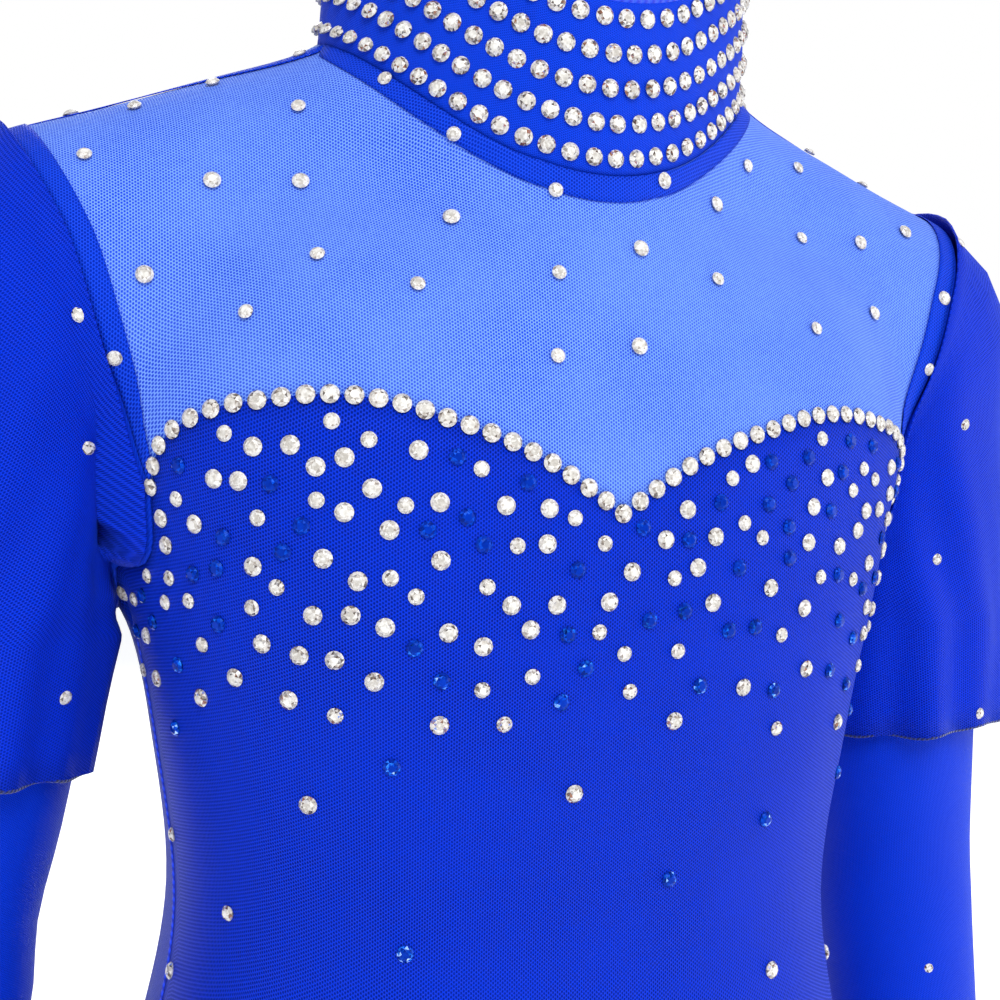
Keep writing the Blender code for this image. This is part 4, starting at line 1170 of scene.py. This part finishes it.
def neckline_stones():
    half = resample(sweetheart(FINE), NECKLINE_STEPS)
    line = both_sides(half)
    away = outward(line)
    places = line + away * (CLOTH_TOP + STONE_LIFT)
    piece = stones("neckline_stones", places, away, np.full(len(line), LARGE), "clear", 70,
                   np.full(len(line), 0.35))
    settle_in(piece, "crystal", "neckline_stone_row")
    return places


def body_spacing(front_top):
    """How far apart the loose stones lie, by their depth below the neckline."""
    def spacing(p):
        neck = np.interp(np.abs(p[:, 0]), front_top[:, 0], front_top[:, 2])
        deep = (neck - p[:, 2]) / (neck - DENSE_FLOOR)
        gap = 0.0062 + 0.0038 * np.clip(deep, 0, 1) ** 2
        gap = gap + 0.0240 * np.clip((deep - 0.95) / 0.5, 0, 1)
        off = (p[:, 2] < SPARSE_FLOOR) | (deep < 0.04)
        return np.where(off, np.inf, gap)
    return spacing


def loose_stones(front, front_out, yoke, yoke_out, row):
    """The scatter of stones under the neckline, on the yoke and on the sleeves."""
    surface = front + front_out * (CLOTH_TOP + STONE_LIFT)
    top = sweetheart(FINE)
    places, facing = scatter(surface, front_out, 7, 9000, body_spacing(top), row)
    random = np.random.default_rng(8)
    kind = random.uniform(0, 1, len(places))
    # Painted shade: stones lower on the body get darker painted reflections.
    deep = np.clip((-0.095 - places[:, 2]) / 0.06, 0.15, 1.0)
    for name, low, high, size, look in (("large", 0.0, 0.38, LARGE, "clear"),
                                        ("small", 0.38, 0.64, SMALL, "clear"),
                                        ("sapphire", 0.64, 1.0, SMALL * 1.05, "sapphire")):
        mine = (kind >= low) & (kind < high)
        piece = stones("body_stones_" + name, places[mine], facing[mine],
                       np.full(mine.sum(), size), look, 80, deep[mine])
        settle_in(piece, "crystal")
    surface = yoke + yoke_out * (BAND_TOP + 0.0002)
    places, facing = scatter(surface, yoke_out, 12, 2500,
                             lambda p: np.where(np.abs(p[:, 0]) > 0.128, np.inf, 0.0215), row)
    sizes = np.where(np.random.default_rng(13).uniform(0, 1, len(places)) < 0.5, LARGE, SMALL)
    piece = stones("yoke_stones", places, facing, sizes * 0.95, "clear", 90,
                   np.full(len(places), 0.2))
    settle_in(piece, "crystal")


def few_stones(name, side, grid, out, place_seed, spin_seed, tries, gap, lift):
    """Small clear stones thinly spread over a grid."""
    places, facing = scatter(grid, out, place_seed + side, tries, lambda p: np.full(len(p), gap))
    piece = stones(name, on_side(places + facing * lift, side), on_side(facing, side),
                   np.full(len(places), SMALL), "clear", spin_seed, np.full(len(places), 0.8))
    settle_in(piece, "crystal")


def sleeves():
    """Fitted sleeves with their wrist bands, and a few stones."""
    grid, out = sleeve_grid(), sleeve_normals()
    grid = np.concatenate([grid, grid[:, :1]], axis=1)
    out = np.concatenate([out, out[:, :1]], axis=1)
    rows = len(grid)
    t = np.linspace(0, 1, rows)[:, None, None]
    turn = np.linspace(0, 2 * np.pi, grid.shape[1])[None, :, None]
    elbow = np.exp(-((t - 0.56) / 0.10) ** 2)
    inside = 0.5 - 0.5 * np.cos(turn)
    wrinkle = 0.0007 * elbow * inside * np.sin(46 * t + 2.0 * np.sin(turn))
    outer = grid + out * (CLOTH_TOP + wrinkle)
    last = rows - 3
    for name, side in SIDES:
        tube = on_side(outer[:last + 1], side)
        piece = cloth("fitted_sleeve_" + name, tube, "sleeve", 0.0007, ring=True, flip=side < 0,
                      places=hanging)
        settle_in(piece, "blue_knit", "sleeve_" + name)
        cuff = on_side(outer[last:] + out[last:] * 0.0003, side)
        hem = cloth("wrist_band_" + name, cuff, "sleeve", 0.0010, ring=True, flip=side < 0)
        settle_in(hem, "doubled_mesh", "wrist_hem_" + name)
        declare(tube, [hem])
        stitch = outer[last] + out[last] * 0.0003
        piece = cord("wrist_stitch_" + name, on_side(stitch[:-1], side), 0.00035, "rib", 6, True)
        settle_in(piece, "doubled_mesh")
        low = slice((CAP_ROWS + 3) * FINE, None)
        few_stones("sleeve_stones_" + name, side, outer[low], out[low], 21, 91, 400, 0.045, 0)


def petal(first, last, lift):
    """A petal between two sleeve columns: eased off the arm, with soft folds to its hem."""
    grid, out = sleeve_grid(), sleeve_normals()
    around = grid.shape[1]
    station = PETAL_ROWS * FINE
    columns = np.arange(first * FINE, last * FINE + 1)
    rows = station + 1
    sheet, away = grid[:rows, columns % around], out[:rows, columns % around]
    t = (np.arange(rows) / station)[:, None]
    turn = 2 * np.pi * columns[None] / around
    outer = 0.5 + 0.5 * np.cos(turn)
    near_split = np.clip(2 - np.abs(columns[None] / FINE), 0, 1)
    flare = lift * near_split + PETAL_EASE * t * (0.25 + 0.75 * outer)
    folds = 0.55 * np.sin(7 * turn + 1.6 * t) + 0.45 * np.sin(12 * turn - 2.2 * t + 1.0)
    flare = flare + FOLD_DEPTH * t**1.2 * (0.6 + folds) * (0.45 + 0.55 * outer)
    flare = flare + EDGE_WAVE * near_split * t**0.5 * (1 + np.sin(15 * t))
    pull = 0.0006 * np.sin(np.pi * t) * np.sin(18 * t + 5 * turn)
    return sheet + away * (PETAL_TOP + flare + pull)[..., None], away


def oversleeves():
    """Short petal over-sleeves, split on the outside, with a navy rolled hem."""
    half = sleeve_grid().shape[1] // FINE // 2
    for part, sheet in (("front", petal(-1, half - 1, PETAL_LIFT)),
                        ("back", petal(half + 1, 2 * half, 0.0))):
        points, away = sheet
        for name, side in SIDES:
            grid = on_side(points, side)
            piece = cloth(f"petal_{part}_{name}", grid, "petal", 0.0005, flip=side < 0,
                          places=hanging)
            settle_in(piece, "blue_knit", f"oversleeve_{part}_{name}")
            edge = 0 if part == "front" else -1
            line = np.vstack([points[4:, edge], points[-1, 1:-1] if part == "front"
                              else points[-1, 1:-1][::-1]])
            line[:, 2] += 0.0004 * np.sin(np.arange(len(line)) * 1.1)
            line = through(line, 2)
            hem = cord(f"petal_{part}_rolled_hem_{name}", on_side(line, side), 0.0006, "hem", 6)
            settle_in(hem, "navy_thread", f"oversleeve_{part}_hem_{name}")
            declare(grid, [hem])
    grid, away = petal(-1, half - 1, PETAL_LIFT)
    for name, side in SIDES:
        few_stones("petal_stones_" + name, side, grid, away, 31, 95, 300, 0.034, STONE_LIFT)


def leg_bindings():
    front, back = leg_line(True, FINE), leg_line(False, FINE)
    line = np.vstack([front[:-1], back[::-1][:-1]])
    away = unit(line.mean(0) - line)
    line = line + outward(line, trunk_distance) * (CLOTH_TOP - 0.0010) + away * 0.0018
    count = len(line) * 3
    line = resample(np.vstack([line, line[:1]]), count)[:-1]
    gathers = 0.0020 + 0.00018 * np.sin(np.arange(len(line)) * 1.9)
    for name, side in SIDES:
        piece = cord("leg_binding_" + name, on_side(line, side), gathers, "rib", 10, True)
        settle_in(piece, "doubled_mesh", "leg_elastic_" + name)


def finish_hardware():
    """Better finishes on the CAD model's teeth, stops, slider, pull tab, hook and eye."""
    metal = {"zip_top_stop_left", "zip_top_stop_right", "zip_bottom_stop", "zip_slider",
             "zip_pull_tab", "collar_hook", "collar_eye"}
    nylon = {"zip_teeth_left", "zip_teeth_right"}
    for names, look in ((metal, "steel"), (nylon, "teeth")):
        for name in sorted(names):
            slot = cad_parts[name].material_slots[0]
            slot.link = "OBJECT"
            slot.material = LOOKS[look]


# ---------------------------------------------------------------- light and camera

def stage():
    floor = add_mesh("floor", [(-6, -6, 0), (6, -6, 0), (6, 6, 0), (-6, 6, 0)], [(0, 1, 2, 3)],
                     "floor")
    floor.location.z = cad_box[0].z - 0.05
    world = bpy.data.worlds.new("studio")
    bpy.context.scene.world = world
    world.use_nodes = True
    nodes, links = world.node_tree.nodes, world.node_tree.links
    lit = nodes["Background"]
    lit.inputs[0].default_value = (0.93, 0.96, 1.0, 1)
    lit.inputs[1].default_value = 0.55
    seen = nodes.new("ShaderNodeBackground")
    seen.inputs[0].default_value = (1, 1, 1, 1)
    path, mix = nodes.new("ShaderNodeLightPath"), nodes.new("ShaderNodeMixShader")
    links.new(path.outputs["Is Camera Ray"], mix.inputs[0])
    links.new(lit.outputs[0], mix.inputs[1])
    links.new(seen.outputs[0], mix.inputs[2])
    links.new(mix.outputs[0], nodes["World Output"].inputs[0])
    for name, at, size, power in (("key", (-0.3, -1.5, 1.1), 1.0, 30.0),
                                  ("fill", (1.6, -0.8, 0.3), 1.4, 12.0),
                                  ("back", (0.6, 1.8, 0.9), 1.4, 18.0)):
        light = bpy.data.lights.new(name, "AREA")
        light.size, light.energy = size, power
        lamp = bpy.data.objects.new(name, light)
        lamp.location = at
        aim = -np.array(at) + [0, 0, -0.15]
        lamp.rotation_euler = Vector(aim).to_track_quat("-Z", "Y").to_euler()
        bpy.context.scene.collection.objects.link(lamp)
    bpy.context.scene.view_settings.view_transform = "Standard"


def camera():
    data = bpy.data.cameras.new("camera")
    data.lens, data.sensor_width = CAMERA_LENS, 36.0
    data.clip_start = 0.01
    made = bpy.data.objects.new("camera", data)
    made.location = CAMERA_AT
    turn, lift = math.radians(CAMERA_TURN), math.radians(CAMERA_LIFT)
    back = Vector((math.sin(turn) * math.cos(lift), -math.cos(turn) * math.cos(lift),
                   math.sin(lift)))
    made.rotation_mode = "QUATERNION"
    aim = (-back).to_track_quat("-Z", "Y")
    made.rotation_quaternion = aim @ Quaternion((0, 0, 1), math.radians(CAMERA_ROLL))
    bpy.context.scene.collection.objects.link(made)
    bpy.context.scene.camera = made


stage()
camera()
front_grid, front_normals = trunk()
yoke_grid, yoke_normals = yokes()
collar()
row_places = neckline_stones()
loose_stones(front_grid, front_normals, yoke_grid, yoke_normals, row_places)
sleeves()
oversleeves()
leg_bindings()
finish_hardware()

bpy.context.view_layer.update()
